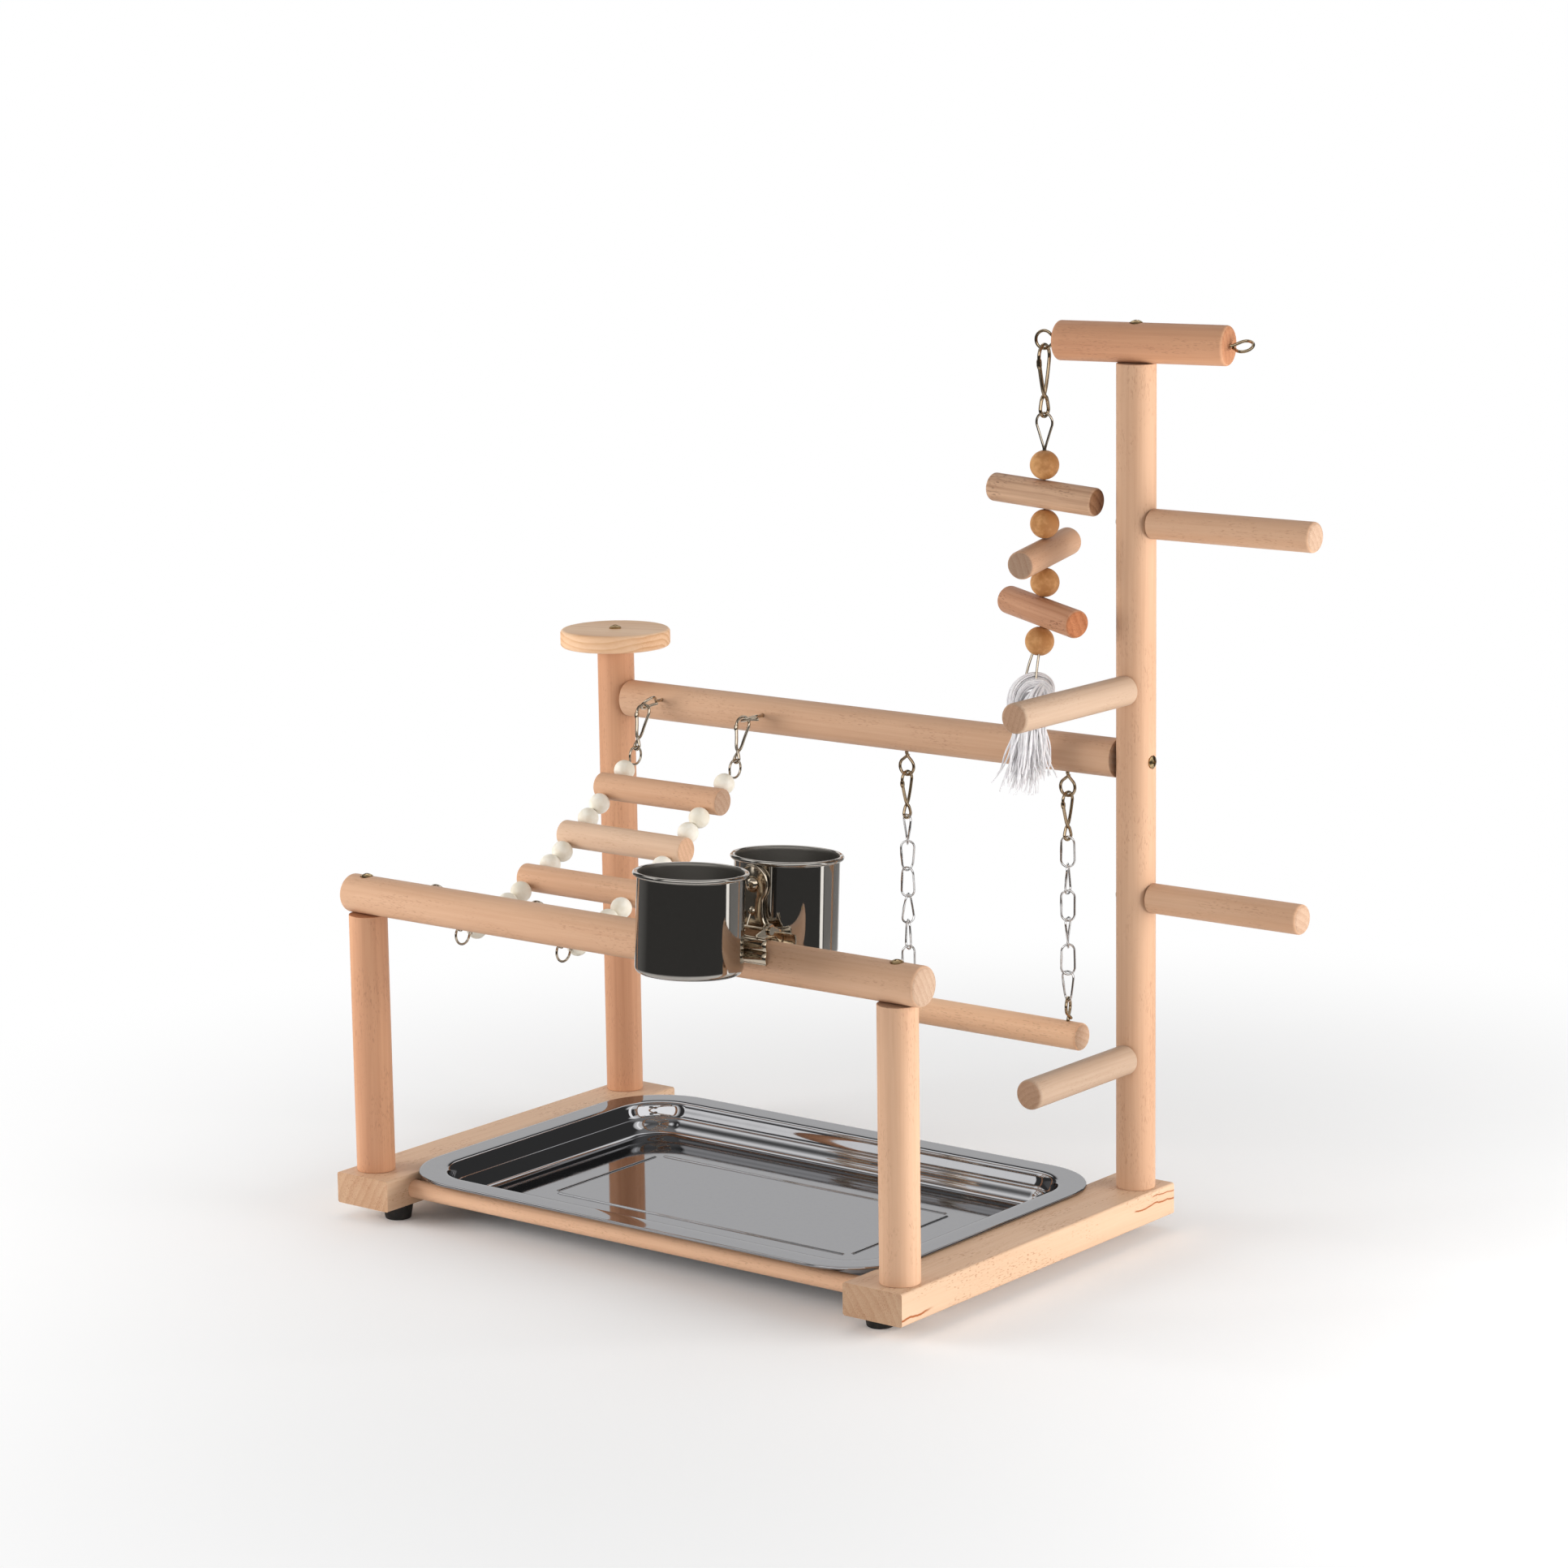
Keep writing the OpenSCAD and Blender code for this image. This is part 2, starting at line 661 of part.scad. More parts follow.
module front_leg(side) {
    color([0.87, 0.69, 0.55]) placed() difference() {
        at_post(side, -1) post(front_leg_l, butt_r);
        at_post(side, -1) post_foot_cut();
        front_rail_seats() wood_screw_cut();
    }
}

module front_left_leg() front_leg(-1);
module front_right_leg() front_leg(1);

module back_left_post() {
    color([0.87, 0.69, 0.55]) placed() at_post(-1, 1) difference() {
        post(back_left_l, butt_r);
        post_foot_cut();
        side_seat(back_rail_z, 0) wood_screw_cut();
        translate([0, 0, back_left_top + disc_t]) wood_screw_cut(disc_screw_l);
    }
}

module back_right_post() {
    color([0.87, 0.69, 0.55]) placed() at_post(1, 1) difference() {
        post(back_right_l, butt_r);
        post_foot_cut();
        side_seat(back_rail_z, 180) wood_screw_cut();
        for (p = perch_list) side_seat(board_top + p[0], p[1]) wood_screw_cut();
        top_seat() wood_screw_cut();
    }
}

// Rails
module front_rail() {
    color([0.87, 0.69, 0.55]) placed() difference() {
        translate([front_rail_shift - front_rail_l / 2, -post_y, front_rail_z])
            to_right() dowel(dowel_d, front_rail_l, end_r, end_r);
        front_rail_seats() wood_screw_cut();
        for (i = [0, 1]) at_ladder_low_eye(i) eye_cut(ladder_low_neck);
    }
}

module front_rail_screws() color("silver") placed() front_rail_seats() wood_screw();

module back_rail() {
    color([0.87, 0.69, 0.55]) placed() difference() {
        translate([-rail_end, post_y, back_rail_z]) to_right() dowel(dowel_d, 2 * rail_end, butt_r, butt_r);
        at_post(-1, 1) side_seat(back_rail_z, 0) wood_screw_cut();
        at_post(1, 1) side_seat(back_rail_z, 180) wood_screw_cut();
        for (i = [0, 1]) at_swing_eye(i) eye_cut(swing_eye_neck);
        for (i = [0, 1]) at_ladder_top_eye(i) eye_cut(ladder_top_neck);
    }
}

module back_rail_screws() {
    color("silver") placed() {
        at_post(-1, 1) side_seat(back_rail_z, 0) wood_screw();
        at_post(1, 1) side_seat(back_rail_z, 180) wood_screw();
    }
}

// Disc platform and top perch
module disc_platform() {
    color("wheat") placed() at_post(-1, 1) translate([0, 0, back_left_top]) difference() {
        dowel(disc_d, disc_t, end_r, end_r);
        translate([0, 0, disc_t]) wood_screw_cut(disc_screw_l);
    }
}

module disc_screw() {
    color("silver") placed() at_post(-1, 1) translate([0, 0, back_left_top + disc_t])
        wood_screw(disc_screw_l);
}

module top_seat() translate([0, 0, top_perch_z + dowel_r - spot_depth]) children();

module at_perch_end(side) {
    at_post(1, 1) translate([0, 0, top_perch_z]) rotate([0, 0, top_perch_turn])
        translate([side * end_eye_reach + top_perch_shift, 0, 0]) rotate([0, -side * 90, 0])
            rotate([0, 0, end_eye_turns[side < 0 ? 0 : 1]]) children();
}

module top_perch() {
    color([0.87, 0.69, 0.55]) placed() difference() {
        at_post(1, 1) translate([0, 0, top_perch_z]) rotate([0, 0, top_perch_turn])
            translate([top_perch_shift - top_perch_l / 2, 0, 0])
                to_right() dowel(dowel_d, top_perch_l, end_r, end_r);
        at_post(1, 1) top_seat() wood_screw_cut();
        for (s = [-1, 1]) at_perch_end(s) eye_cut(end_eye_neck);
    }
}

module top_perch_screw() color("silver") placed() at_post(1, 1) top_seat() wood_screw();
module toy_eye_screw() color("silver") placed() at_perch_end(-1) eye_screw(end_eye_neck);
module spare_eye_screw() color("silver") placed() at_perch_end(1) eye_screw(end_eye_neck);

// Perches on the back right post
module perch(p, tint) {
    color(tint) placed() at_post(1, 1) difference() {
        translate([0, 0, board_top + p[0]]) rotate([0, 0, p[1]]) translate([dowel_r, 0, 0])
            to_right() dowel(perch_d, p[2], butt_r, end_r);
        side_seat(board_top + p[0], p[1]) wood_screw_cut();
    }
}

module upper_side_perch() perch(perch_list[0], [0.87, 0.69, 0.55]);
module lower_side_perch() perch(perch_list[1], [0.87, 0.69, 0.55]);
module upper_front_perch() perch(perch_list[2], [0.92, 0.8, 0.66]);
module lower_front_perch() perch(perch_list[3], [0.92, 0.8, 0.66]);

module perch_screws() {
    color("silver") placed() at_post(1, 1)
        for (p = perch_list) side_seat(board_top + p[0], p[1]) wood_screw();
}

// Tray: the rim bead lies on the boards
tray_top = board_top + tray_bead_d / 2 + tray_sheet;

module tray_section() {
    wall = [for (s = tray_wall_shares)
        [tray_corner - tray_flange - s[0] * tray_wall_run, -s[1] * tray_depth]];
    edge = [tray_corner - tray_bead_d / 2, 0];
    upper = concat([edge], wall);
    lower = [for (i = [len(upper) - 1:-1:0]) upper[i] + [tray_sheet, -tray_sheet]];
    polygon(concat(upper, lower));
    translate([tray_corner - tray_bead_d / 2, -tray_sheet]) circle(d = tray_bead_d, $fn = wire_fn);
}

module tray_side(l, out) {
    translate([out - tray_corner, 0, 0]) to_front() linear_extrude(l, center = true) tray_section();
}

module rib(l) {
    linear_extrude(rib_h + tray_sheet) {
        square([l, rib_w], center = true);
        for (s = [-1, 1]) translate([s * l / 2, 0]) circle(d = rib_w);
    }
}

module litter_tray() {
    inner_l = tray_l / 2 - tray_corner;
    inner_w = tray_w / 2 - tray_corner;
    floor_in = tray_flange + tray_wall_run - tray_sheet;
    color("gainsboro") placed() translate([0, tray_shift, tray_top]) {
        for (k = [0:3]) {
            i = (k == 0 || k == 3) ? 1 : -1;
            j = k < 2 ? 1 : -1;
            translate([i * inner_l, j * inner_w, 0]) rotate([0, 0, 90 * k])
                rotate_extrude(angle = 90) tray_section();
        }
        for (turn = [0, 180]) {
            rotate([0, 0, turn]) tray_side(2 * inner_w, tray_l / 2);
            rotate([0, 0, turn + 90]) tray_side(2 * inner_l, tray_w / 2);
        }
        translate([0, 0, -tray_depth - tray_sheet]) {
            linear_extrude(tray_sheet)
                rounded_rect(tray_l - 2 * floor_in, tray_w - 2 * floor_in, tray_corner - floor_in);
            for (s = [-1, 1]) {
                translate([0, s * rib_y, 0]) rib(2 * (rib_x - rib_corner_gap));
                translate([s * rib_x, 0, 0]) rotate([0, 0, 90]) rib(2 * (rib_y - rib_corner_gap));
            }
        }
    }
}

// Swing
function swing_place(i) = swing_x + (i - 1 / 2) * swing_span;

module at_swing_eye(i) translate([swing_place(i), post_y, swing_eye_z]) children();

module swing_upper_eyes() color("silver") placed() for (i = [0, 1]) at_swing_eye(i) eye_screw(swing_eye_neck);

module swing_hooks() {
    color("silver") placed() for (i = [0, 1])
        translate([swing_place(i), post_y, swing_pivot_z]) rotate([0, 0, 90])
            snap_hook(hook_l, hook_w, hook_wire, link_play);
}

module chain(i, turns) {
    color("silver") placed() for (k = [0:link_count - 1])
        translate([swing_place(i), post_y, chain_top - k * link_pitch]) rotate([0, 0, turns[k]]) link();
}

module left_swing_chain() chain(0, left_link_turns);
module right_swing_chain() chain(1, right_link_turns);

module at_bar_eye(i) {
    translate([swing_place(i), post_y, bar_eye_z]) rotate([0, 0, bar_eye_turns[i]])
        mirror([0, 0, 1]) children();
}

module swing_bar() {
    color([0.87, 0.69, 0.55]) placed() difference() {
        translate([swing_x - swing_bar_l / 2, post_y, swing_bar_z])
            to_right() dowel(swing_bar_d, swing_bar_l, end_r, end_r);
        for (i = [0, 1]) at_bar_eye(i) eye_cut(bar_eye_neck);
    }
}

module swing_bar_eyes() color("silver") placed() for (i = [0, 1]) at_bar_eye(i) eye_screw(bar_eye_neck);

// Ladder
ladder_top_neck = ladder_top_reach - eye_apex_share * eye_r;
ladder_low_neck = ladder_low_reach - eye_apex_share * eye_r;

function ladder_place(i) = (i - 1 / 2) * ladder_w - ladder_x;

module at_ladder_top_eye(i) {
    translate([ladder_place(i), ladder_top_pivot.x, ladder_top_pivot.y]) rotate([0, -ladder_top_tilts[i], 0])
        translate([eye_r, 0, 0]) to_back() children();
}

module at_ladder_low_eye(i) {
    translate([ladder_place(i), ladder_low_pivot.x, ladder_low_pivot.y]) rotate([0, -ladder_low_tilts[i], 0])
        translate([eye_r, 0, 0]) to_front() children();
}

module ladder_upper_eyes() {
    color("silver") placed() for (i = [0, 1]) at_ladder_top_eye(i) eye_screw(ladder_top_neck);
}

module ladder_lower_eyes() {
    color("silver") placed() for (i = [0, 1]) at_ladder_low_eye(i) eye_screw(ladder_low_neck);
}

module ladder_hooks(pivot, lean, play) {
    color("silver") placed() for (i = [0, 1])
        translate([ladder_place(i), pivot.x, pivot.y]) rotate([lean, 0, 0])
            snap_hook(hook_l, hook_w, hook_wire, play);
}

module ladder_upper_hooks() ladder_hooks(ladder_top_pivot, -ladder_hook_lean, ladder_hook_plays[0]);
module ladder_lower_hooks() ladder_hooks(ladder_low_pivot, ladder_low_lean, ladder_hook_plays[1]);

function ladder_at(x, k) = [x, ladder_points[k].x, ladder_points[k].y];

// One side wire: a loop, a bent run through rungs and beads, and a loop
module ladder_run(x, d) {
    way = [for (k = [0, ladder_count - 1]) (ladder_points[k + 1] - ladder_points[k]) / ladder_steps[k]];
    bends = [for (k = [0:ladder_count]) ladder_points[k]
        + (k == 0 ? ladder_loop_r : 0) * way[0] - (k == ladder_count ? ladder_loop_r : 0) * way[1]];
    for (k = [0:ladder_count - 1]) {
        step = bends[k + 1] - bends[k];
        short = wire_stop_share * d / norm(step) * step;
        a = bends[k] + short;
        b = bends[k + 1] - short;
        rod([x, a.x, a.y], [x, b.x, b.y], d);
    }
    for (p = bends) translate([x, p.x, p.y]) sphere(d = wire_bend_share * d);
}

module ladder_wires() {
    color("silver") placed() for (i = [0, 1]) {
        ladder_run(ladder_place(i), ladder_wire);
        for (k = [0, ladder_count])
            translate(ladder_at(ladder_place(i), k)) rotate([0, 0, 90]) ring(ladder_loop_r, ladder_wire);
    }
}

module ladder_beads(i) {
    color("ivory") placed() difference() {
        for (k = [1:ladder_count - 1]) translate(ladder_at(ladder_place(i), k)) sphere(d = ladder_bead_d);
        ladder_run(ladder_place(i), ladder_wire + 2 * hole_play);
    }
}

module left_ladder_beads() ladder_beads(0);
module right_ladder_beads() ladder_beads(1);

module ladder_rung(k) {
    middle = (ladder_at(-ladder_x, 2 * k - 1) + ladder_at(-ladder_x, 2 * k)) / 2;
    color([0.9, 0.75, 0.62]) placed() difference() {
        translate(middle - [rung_l / 2, 0, 0]) to_right() dowel(rung_d, rung_l, rung_end_r, rung_end_r);
        for (i = [0, 1]) ladder_run(ladder_place(i), ladder_wire + 2 * hole_play);
    }
}

module ladder_rung_1() ladder_rung(1);
module ladder_rung_2() ladder_rung(2);
module ladder_rung_3() ladder_rung(3);
module ladder_rung_4() ladder_rung(4);

// Clip and cups, drawn about the middle of the pin and leaning about the rail's axis
module at_clip() {
    translate([clip_x, -post_y, front_rail_z]) rotate([-clip_lean, 0, 0])
        translate([0, 0, pin_rise]) children();
}

module clip_pin() {
    half = front_ear_x + clip_sheet / 2 + rest_play;
    color("silver") placed() at_clip() {
        translate([-half, 0, 0]) to_right() cylinder(d = pin_d, h = 2 * half);
        for (s = [-1, 1])
            translate([s * (half + pin_head_h / 2), 0, 0]) to_right()
                cylinder(d = pin_head_d, h = pin_head_h, center = true);
    }
}

module clip_spring() {
    points = [for (p = coil_path) for (k = [0:coil_sides - 1])
        p[0] + coil_wire / 2 * (cos(360 * k / coil_sides) * coil_side(p[1])
            + sin(360 * k / coil_sides) * [1, 0, 0])];
    last = (coil_count - 1) * coil_sides;
    walls = [for (i = [0:coil_count - 2]) for (k = [0:coil_sides - 1])
        let (a = i * coil_sides + k, b = i * coil_sides + (k + 1) % coil_sides)
            for (f = [[a, b, a + coil_sides], [b, b + coil_sides, a + coil_sides]]) f];
    caps = [for (k = [1:coil_sides - 2]) for (f = [[0, k + 1, k], [last, last + k, last + k + 1]]) f];
    color("silver") placed() at_clip() polyhedron(points = points, faces = concat(walls, caps));
}

module clip_outline() {
    translate([0, clip_head_h]) circle(r = clip_head_r);
    polygon([[-clip_neck_w / 2, clip_head_h], [clip_neck_w / 2, clip_head_h],
        [clip_neck_w / 2, clip_neck_h], [clip_foot_w / 2, 0], [clip_flare_w / 2, -clip_jaw_top],
        [-clip_flare_w / 2, -clip_jaw_top], [-clip_foot_w / 2, 0], [-clip_neck_w / 2, clip_neck_h]]);
    translate([0, -clip_jaw_top - clip_jaw_h / 2]) rounded_rect(clip_w, clip_jaw_h, clip_jaw_r);
}

module ear_outline() {
    difference() {
        union() {
            circle(r = ear_r);
            polygon([[0, ear_r], [plate_y + clip_sheet / 2, -ear_root_high],
                [plate_y + clip_sheet / 2, -ear_root_low], [ear_bend, -ear_r], [0, -ear_r]]);
        }
        circle(d = pin_d + 2 * run_play);
    }
}

module rivet_places() {
    translate([0, 0, upper_rivet_h]) children();
    translate([0, 0, lower_rivet_h]) children();
}

// A half of the clip on the +Y side of the pin
module clip_half(ear_x) {
    difference() {
        translate([0, plate_y + clip_sheet, 0]) to_front() linear_extrude(clip_sheet) clip_outline();
        rivet_places() to_back() cylinder(d = rivet_d + 2 * hole_play, h = cup_y);
    }
    for (s = [-1, 1]) {
        translate([s * ear_x - clip_sheet / 2, 0, 0]) rotate([90, 0, 90])
            linear_extrude(clip_sheet) ear_outline();
        for (h = ridge_places)
            translate([s * (ridge_start + clip_w / 2) / 2, plate_y + clip_sheet + ridge_out, -h])
                to_right() cylinder(d = ridge_d, h = clip_w / 2 - ridge_start, center = true);
    }
}

module front_clip_half() {
    color("silver") placed() at_clip() mirror([0, 1, 0]) clip_half(front_ear_x);
}

module rear_clip_half() color("silver") placed() at_clip() clip_half(rear_ear_x);

module cup_shape(r, corner) {
    translate([0, corner]) square([r, cup_h - corner]);
    square([r - corner, corner + overrun]);
    translate([r - corner, corner]) circle(r = corner);
}

module cup() {
    color("gray") translate([0, cup_y, -cup_low]) {
        difference() {
            rotate_extrude() difference() {
                cup_shape(cup_d / 2, cup_bottom_r);
                translate([0, cup_wall]) translate([-overrun, 0])
                    square([cup_d / 2 - cup_bottom_r + overrun, cup_h]);
                translate([cup_d / 2 - cup_bottom_r, cup_bottom_r]) circle(r = cup_bottom_r - cup_wall);
                translate([0, cup_bottom_r]) square([cup_d / 2 - cup_wall, cup_h]);
            }
            translate([0, -cup_y, cup_low]) rivet_places()
                to_back() cylinder(d = rivet_d + 2 * hole_play, h = cup_y);
        }
        rotate_extrude() translate([cup_rim_r - cup_bead_d / 2, cup_h - cup_bead_d / 2])
            circle(d = cup_bead_d, $fn = wire_fn);
    }
}

module front_cup() placed() at_clip() mirror([0, 1, 0]) cup();
module rear_cup() placed() at_clip() cup();

// Rivet along +Y with its dome on the plate's inner face
module rivet(dome_d, dome_h) {
    crown_r = (dome_d * dome_d / 4 + dome_h * dome_h) / (2 * dome_h);
    reach = clip_sheet + clip_gap + cup_wall + 2 * hole_play;
    translate([0, plate_y, 0]) to_back() {
        mirror([0, 0, 1]) rotate_extrude() intersection() {
            translate([0, dome_h - crown_r]) circle(r = crown_r);
            square([dome_d / 2, dome_h]);
        }
        cylinder(d = rivet_d, h = reach + rivet_head_h);
        translate([0, 0, reach]) cylinder(d = rivet_head_d, h = rivet_head_h);
    }
}

module rivets() {
    translate([0, 0, upper_rivet_h]) rivet(upper_dome_d, upper_dome_h);
    translate([0, 0, lower_rivet_h]) rivet(lower_dome_d, lower_dome_h);
}

module front_cup_rivets() color("silver") placed() at_clip() mirror([0, 1, 0]) rivets();
module rear_cup_rivets() color("silver") placed() at_clip() rivets();

// Toy
module toy_snap_hook() {
    color("silver") placed() translate([toy_x, toy_y, toy_pivot_z]) rotate([0, 0, 90 + top_perch_turn])
        snap_hook(toy_hook_l, toy_hook_w, toy_hook_wire, link_play);
}

// The toy's wire below its loop, through beads and sticks, and two strands into the tassel
toy_twist = [toy_x, toy_y, toy_loop_top - toy_loop_share * toy_loop_r];

module toy_line(d, play) {
    rod(toy_twist, toy_bend, d);
    rod(toy_bend, toy_low_bead, d);
    translate(toy_bend) sphere(d = wire_bend_share * d);
    translate(toy_low_bead) sphere(d = toy_knot_d + 2 * play);
    for (s = [-1, 1]) {
        start = toy_low_bead + [s * toy_strand_start, 0, 0];
        rod(start, tassel_top + [s * toy_strand_spread, 0, -toy_strand_let_in], d);
    }
}

module toy_wire() {
    color("silver") placed() {
        translate([toy_x, toy_y, toy_loop_top - toy_loop_r])
            drop(toy_loop_r, toy_wire_d, 2 * hook_open, toy_wire_d / 4, (1 - toy_loop_share) * toy_loop_r);
        translate(toy_twist) sphere(d = toy_twist_d);
        toy_line(toy_wire_d, 0);
    }
}

module toy_beads() {
    color([0.8, 0.57, 0.3]) placed() difference() {
        for (p = toy_bead_places) translate(p) sphere(d = toy_bead_d);
        toy_line(toy_wire_d + 2 * hole_play, hole_play);
    }
}

module toy_stick(k, tint) {
    color(tint) placed() difference() {
        translate(toy_stick_places[k]) rotate([0, 0, toy_stick_turns[k]]) rotate([0, toy_stick_tilts[k], 0])
            translate([-toy_stick_l / 2, 0, 0]) to_right() dowel(toy_stick_d, toy_stick_l, end_r, end_r);
        toy_line(toy_wire_d + 2 * run_play, 0);
    }
}

module toy_stick_1() toy_stick(0, [0.74, 0.64, 0.55]);
module toy_stick_2() toy_stick(1, [0.9, 0.8, 0.66]);
module toy_stick_3() toy_stick(2, [0.83, 0.6, 0.47]);

module toy_tassel() {
    color("white") placed() difference() {
        translate(tassel_top) rotate_extrude()
            polygon([for (s = tassel_profile_shares) [s[0] * tassel_d / 2, -s[1] * tassel_l]]);
        toy_line(toy_wire_d + 2 * hole_play, hole_play);
    }
}

left_base_board();
right_base_board();
front_stretcher();
rear_stretcher();
rubber_feet();
foot_screws();
front_left_leg();
front_right_leg();
back_left_post();
back_right_post();
post_screws();
front_rail();
front_rail_screws();
back_rail();
back_rail_screws();
disc_platform();
disc_screw();
top_perch();
top_perch_screw();
upper_side_perch();
lower_side_perch();
upper_front_perch();
lower_front_perch();
perch_screws();
toy_eye_screw();
spare_eye_screw();
swing_upper_eyes();
ladder_upper_eyes();
ladder_lower_eyes();
litter_tray();
swing_hooks();
left_swing_chain();
right_swing_chain();
swing_bar();
swing_bar_eyes();
ladder_upper_hooks();
ladder_wires();
left_ladder_beads();
right_ladder_beads();
ladder_rung_1();
ladder_rung_2();
ladder_rung_3();
ladder_rung_4();
ladder_lower_hooks();
clip_pin();
clip_spring();
front_clip_half();
rear_clip_half();
front_cup();
rear_cup();
front_cup_rivets();
rear_cup_rivets();
toy_snap_hook();
toy_wire();
toy_beads();
toy_stick_1();
toy_stick_2();
toy_stick_3();
toy_tassel();
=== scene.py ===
import bmesh
import bpy
import json
import math
import random
from mathutils import Euler, Matrix, Vector

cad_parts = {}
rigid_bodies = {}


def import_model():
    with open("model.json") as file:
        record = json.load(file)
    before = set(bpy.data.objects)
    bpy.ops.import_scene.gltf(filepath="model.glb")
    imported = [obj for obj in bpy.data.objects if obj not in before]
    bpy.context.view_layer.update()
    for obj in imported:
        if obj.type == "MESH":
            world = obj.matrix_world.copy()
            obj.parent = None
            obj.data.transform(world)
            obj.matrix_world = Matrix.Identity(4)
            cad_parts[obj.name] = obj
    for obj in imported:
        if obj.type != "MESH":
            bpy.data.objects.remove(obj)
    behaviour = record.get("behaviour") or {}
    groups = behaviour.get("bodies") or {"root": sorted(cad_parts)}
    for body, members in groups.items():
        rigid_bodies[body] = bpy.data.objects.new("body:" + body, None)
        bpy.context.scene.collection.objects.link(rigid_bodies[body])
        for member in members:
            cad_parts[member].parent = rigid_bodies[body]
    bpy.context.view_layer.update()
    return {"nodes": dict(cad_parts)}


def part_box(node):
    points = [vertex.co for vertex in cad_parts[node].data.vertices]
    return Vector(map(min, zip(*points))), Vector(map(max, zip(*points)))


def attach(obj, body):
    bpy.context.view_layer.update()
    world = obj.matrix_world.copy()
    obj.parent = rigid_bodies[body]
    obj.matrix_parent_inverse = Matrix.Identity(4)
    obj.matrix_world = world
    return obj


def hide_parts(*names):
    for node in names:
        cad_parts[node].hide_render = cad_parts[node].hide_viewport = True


for startUpObject in list(bpy.data.objects):
    bpy.data.objects.remove(startUpObject)
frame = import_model()
scene = bpy.context.scene

# Pieces are drawn in mm from the middle of the four posts: X to the right, Y to the back and Z up
mm = 0.001  # in metres
toRight, toBack, toTop = Vector((1, 0, 0)), Vector((0, 1, 0)), Vector((0, 0, 1))
linkPlay = 0.3  # mm between two wires that hang in each other


def boxMiddle(nodeName):  # in mm
    low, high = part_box(nodeName)
    return (low + high) / 2 / mm


frontLeft, backRight = boxMiddle("front_left_leg"), boxMiddle("back_right_post")
standMiddle = (frontLeft + backRight) / 2
standFrame = Matrix.Scale(mm, 4) @ Matrix.Translation((standMiddle.x, standMiddle.y, 0.0))
postX, postY = backRight.x - standMiddle.x, backRight.y - standMiddle.y
postRadius = backRight.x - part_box("back_right_post")[0].x / mm
frontRailZ, backRailZ, topPerchZ = (boxMiddle(name).z for name in ("front_rail", "back_rail", "top_perch"))
print("posts at", postX, postY, "radius", postRadius, "rails at", frontRailZ, backRailZ, topPerchZ)


def moved(x, y, z):
    return Matrix.Translation((x, y, z))


def turned(x=0.0, y=0.0, z=0.0):  # degrees, about X first, then Y, then Z
    return Euler((math.radians(x), math.radians(y), math.radians(z))).to_matrix().to_4x4()


def paint(red, green, blue, share=1.0):  # an 8-bit screen colour as the linear colour of a socket
    def linear(value):
        value = min(255.0, value * share) / 255.0
        return value / 12.92 if value <= 0.04045 else ((value + 0.055) / 1.055) ** 2.4
    return (linear(red), linear(green), linear(blue), 1.0)


# Camera
cameraSettings = {"azimuth": 38.2464, "elevation": 10.9384, "roll": -0.8262, "distance": 2814.146,
                  "aim": (31.1237, 0.0, 292.3497), "focalPixels": 5500.747, "imagePixels": 1932,
                  "sensor": 36.0, "nearest": 0.05, "farthest": 60.0}


def addCamera(s):
    azimuth, elevation, roll = (math.radians(s[k]) for k in ("azimuth", "elevation", "roll"))
    back = Vector((math.sin(azimuth) * math.cos(elevation), -math.cos(azimuth) * math.cos(elevation),
                   math.sin(elevation)))
    right = (-back).cross(toTop).normalized()
    up = right.cross(-back)
    rightRolled = right * math.cos(roll) + up * math.sin(roll)
    upRolled = up * math.cos(roll) - right * math.sin(roll)
    place = standFrame @ (Vector(s["aim"]) + back * s["distance"])
    data = bpy.data.cameras.new("photoCamera")
    data.sensor_fit = "HORIZONTAL"
    data.sensor_width = s["sensor"]
    data.lens = s["focalPixels"] / s["imagePixels"] * s["sensor"]
    data.clip_start, data.clip_end = s["nearest"], s["farthest"]
    camera = bpy.data.objects.new("photoCamera", data)
    camera.matrix_world = Matrix((
        (rightRolled.x, upRolled.x, back.x, place.x), (rightRolled.y, upRolled.y, back.y, place.y),
        (rightRolled.z, upRolled.z, back.z, place.z), (0, 0, 0, 1)))
    scene.collection.objects.link(camera)
    scene.camera = camera
    return back, right


viewBack, viewRight = addCamera(cameraSettings)
print("camera placed")


# Node helpers
def newTree(kind, name, inputs, outputs):  # inputs and outputs give each socket's name and kind
    tree = bpy.data.node_groups.new(name, kind)
    for way, sockets in (("INPUT", inputs), ("OUTPUT", outputs)):
        for socketName, socketKind in sockets.items():
            tree.interface.new_socket(name=socketName, in_out=way, socket_type="NodeSocket" + socketKind)
    return tree, tree.nodes.new("NodeGroupInput").outputs, tree.nodes.new("NodeGroupOutput").inputs


def plug(tree, value, socket):
    if isinstance(value, bpy.types.NodeSocket):
        tree.links.new(value, socket)
    else:
        socket.default_value = value


def calc(tree, operation, *values):
    node = tree.nodes.new("ShaderNodeMath")
    node.operation = operation
    for value, socket in zip(values, node.inputs):
        plug(tree, value, socket)
    return node.outputs[0]


def chained(tree, operation, first, *others):
    for other in others:
        first = calc(tree, operation, first, other)
    return first


def total(tree, *values):
    return chained(tree, "ADD", *values)


def product(tree, *values):
    return chained(tree, "MULTIPLY", *values)


def less(tree, first, *others):
    return chained(tree, "SUBTRACT", first, *others)


def highest(tree, *values):
    return chained(tree, "MAXIMUM", *values)


def vectorCalc(tree, operation, *values):
    node = tree.nodes.new("ShaderNodeVectorMath")
    node.operation = operation
    for value, socket in zip(values, node.inputs):
        plug(tree, value, socket)
    return node.outputs["Value"] if operation in ("LENGTH", "DOT_PRODUCT") else node.outputs[0]


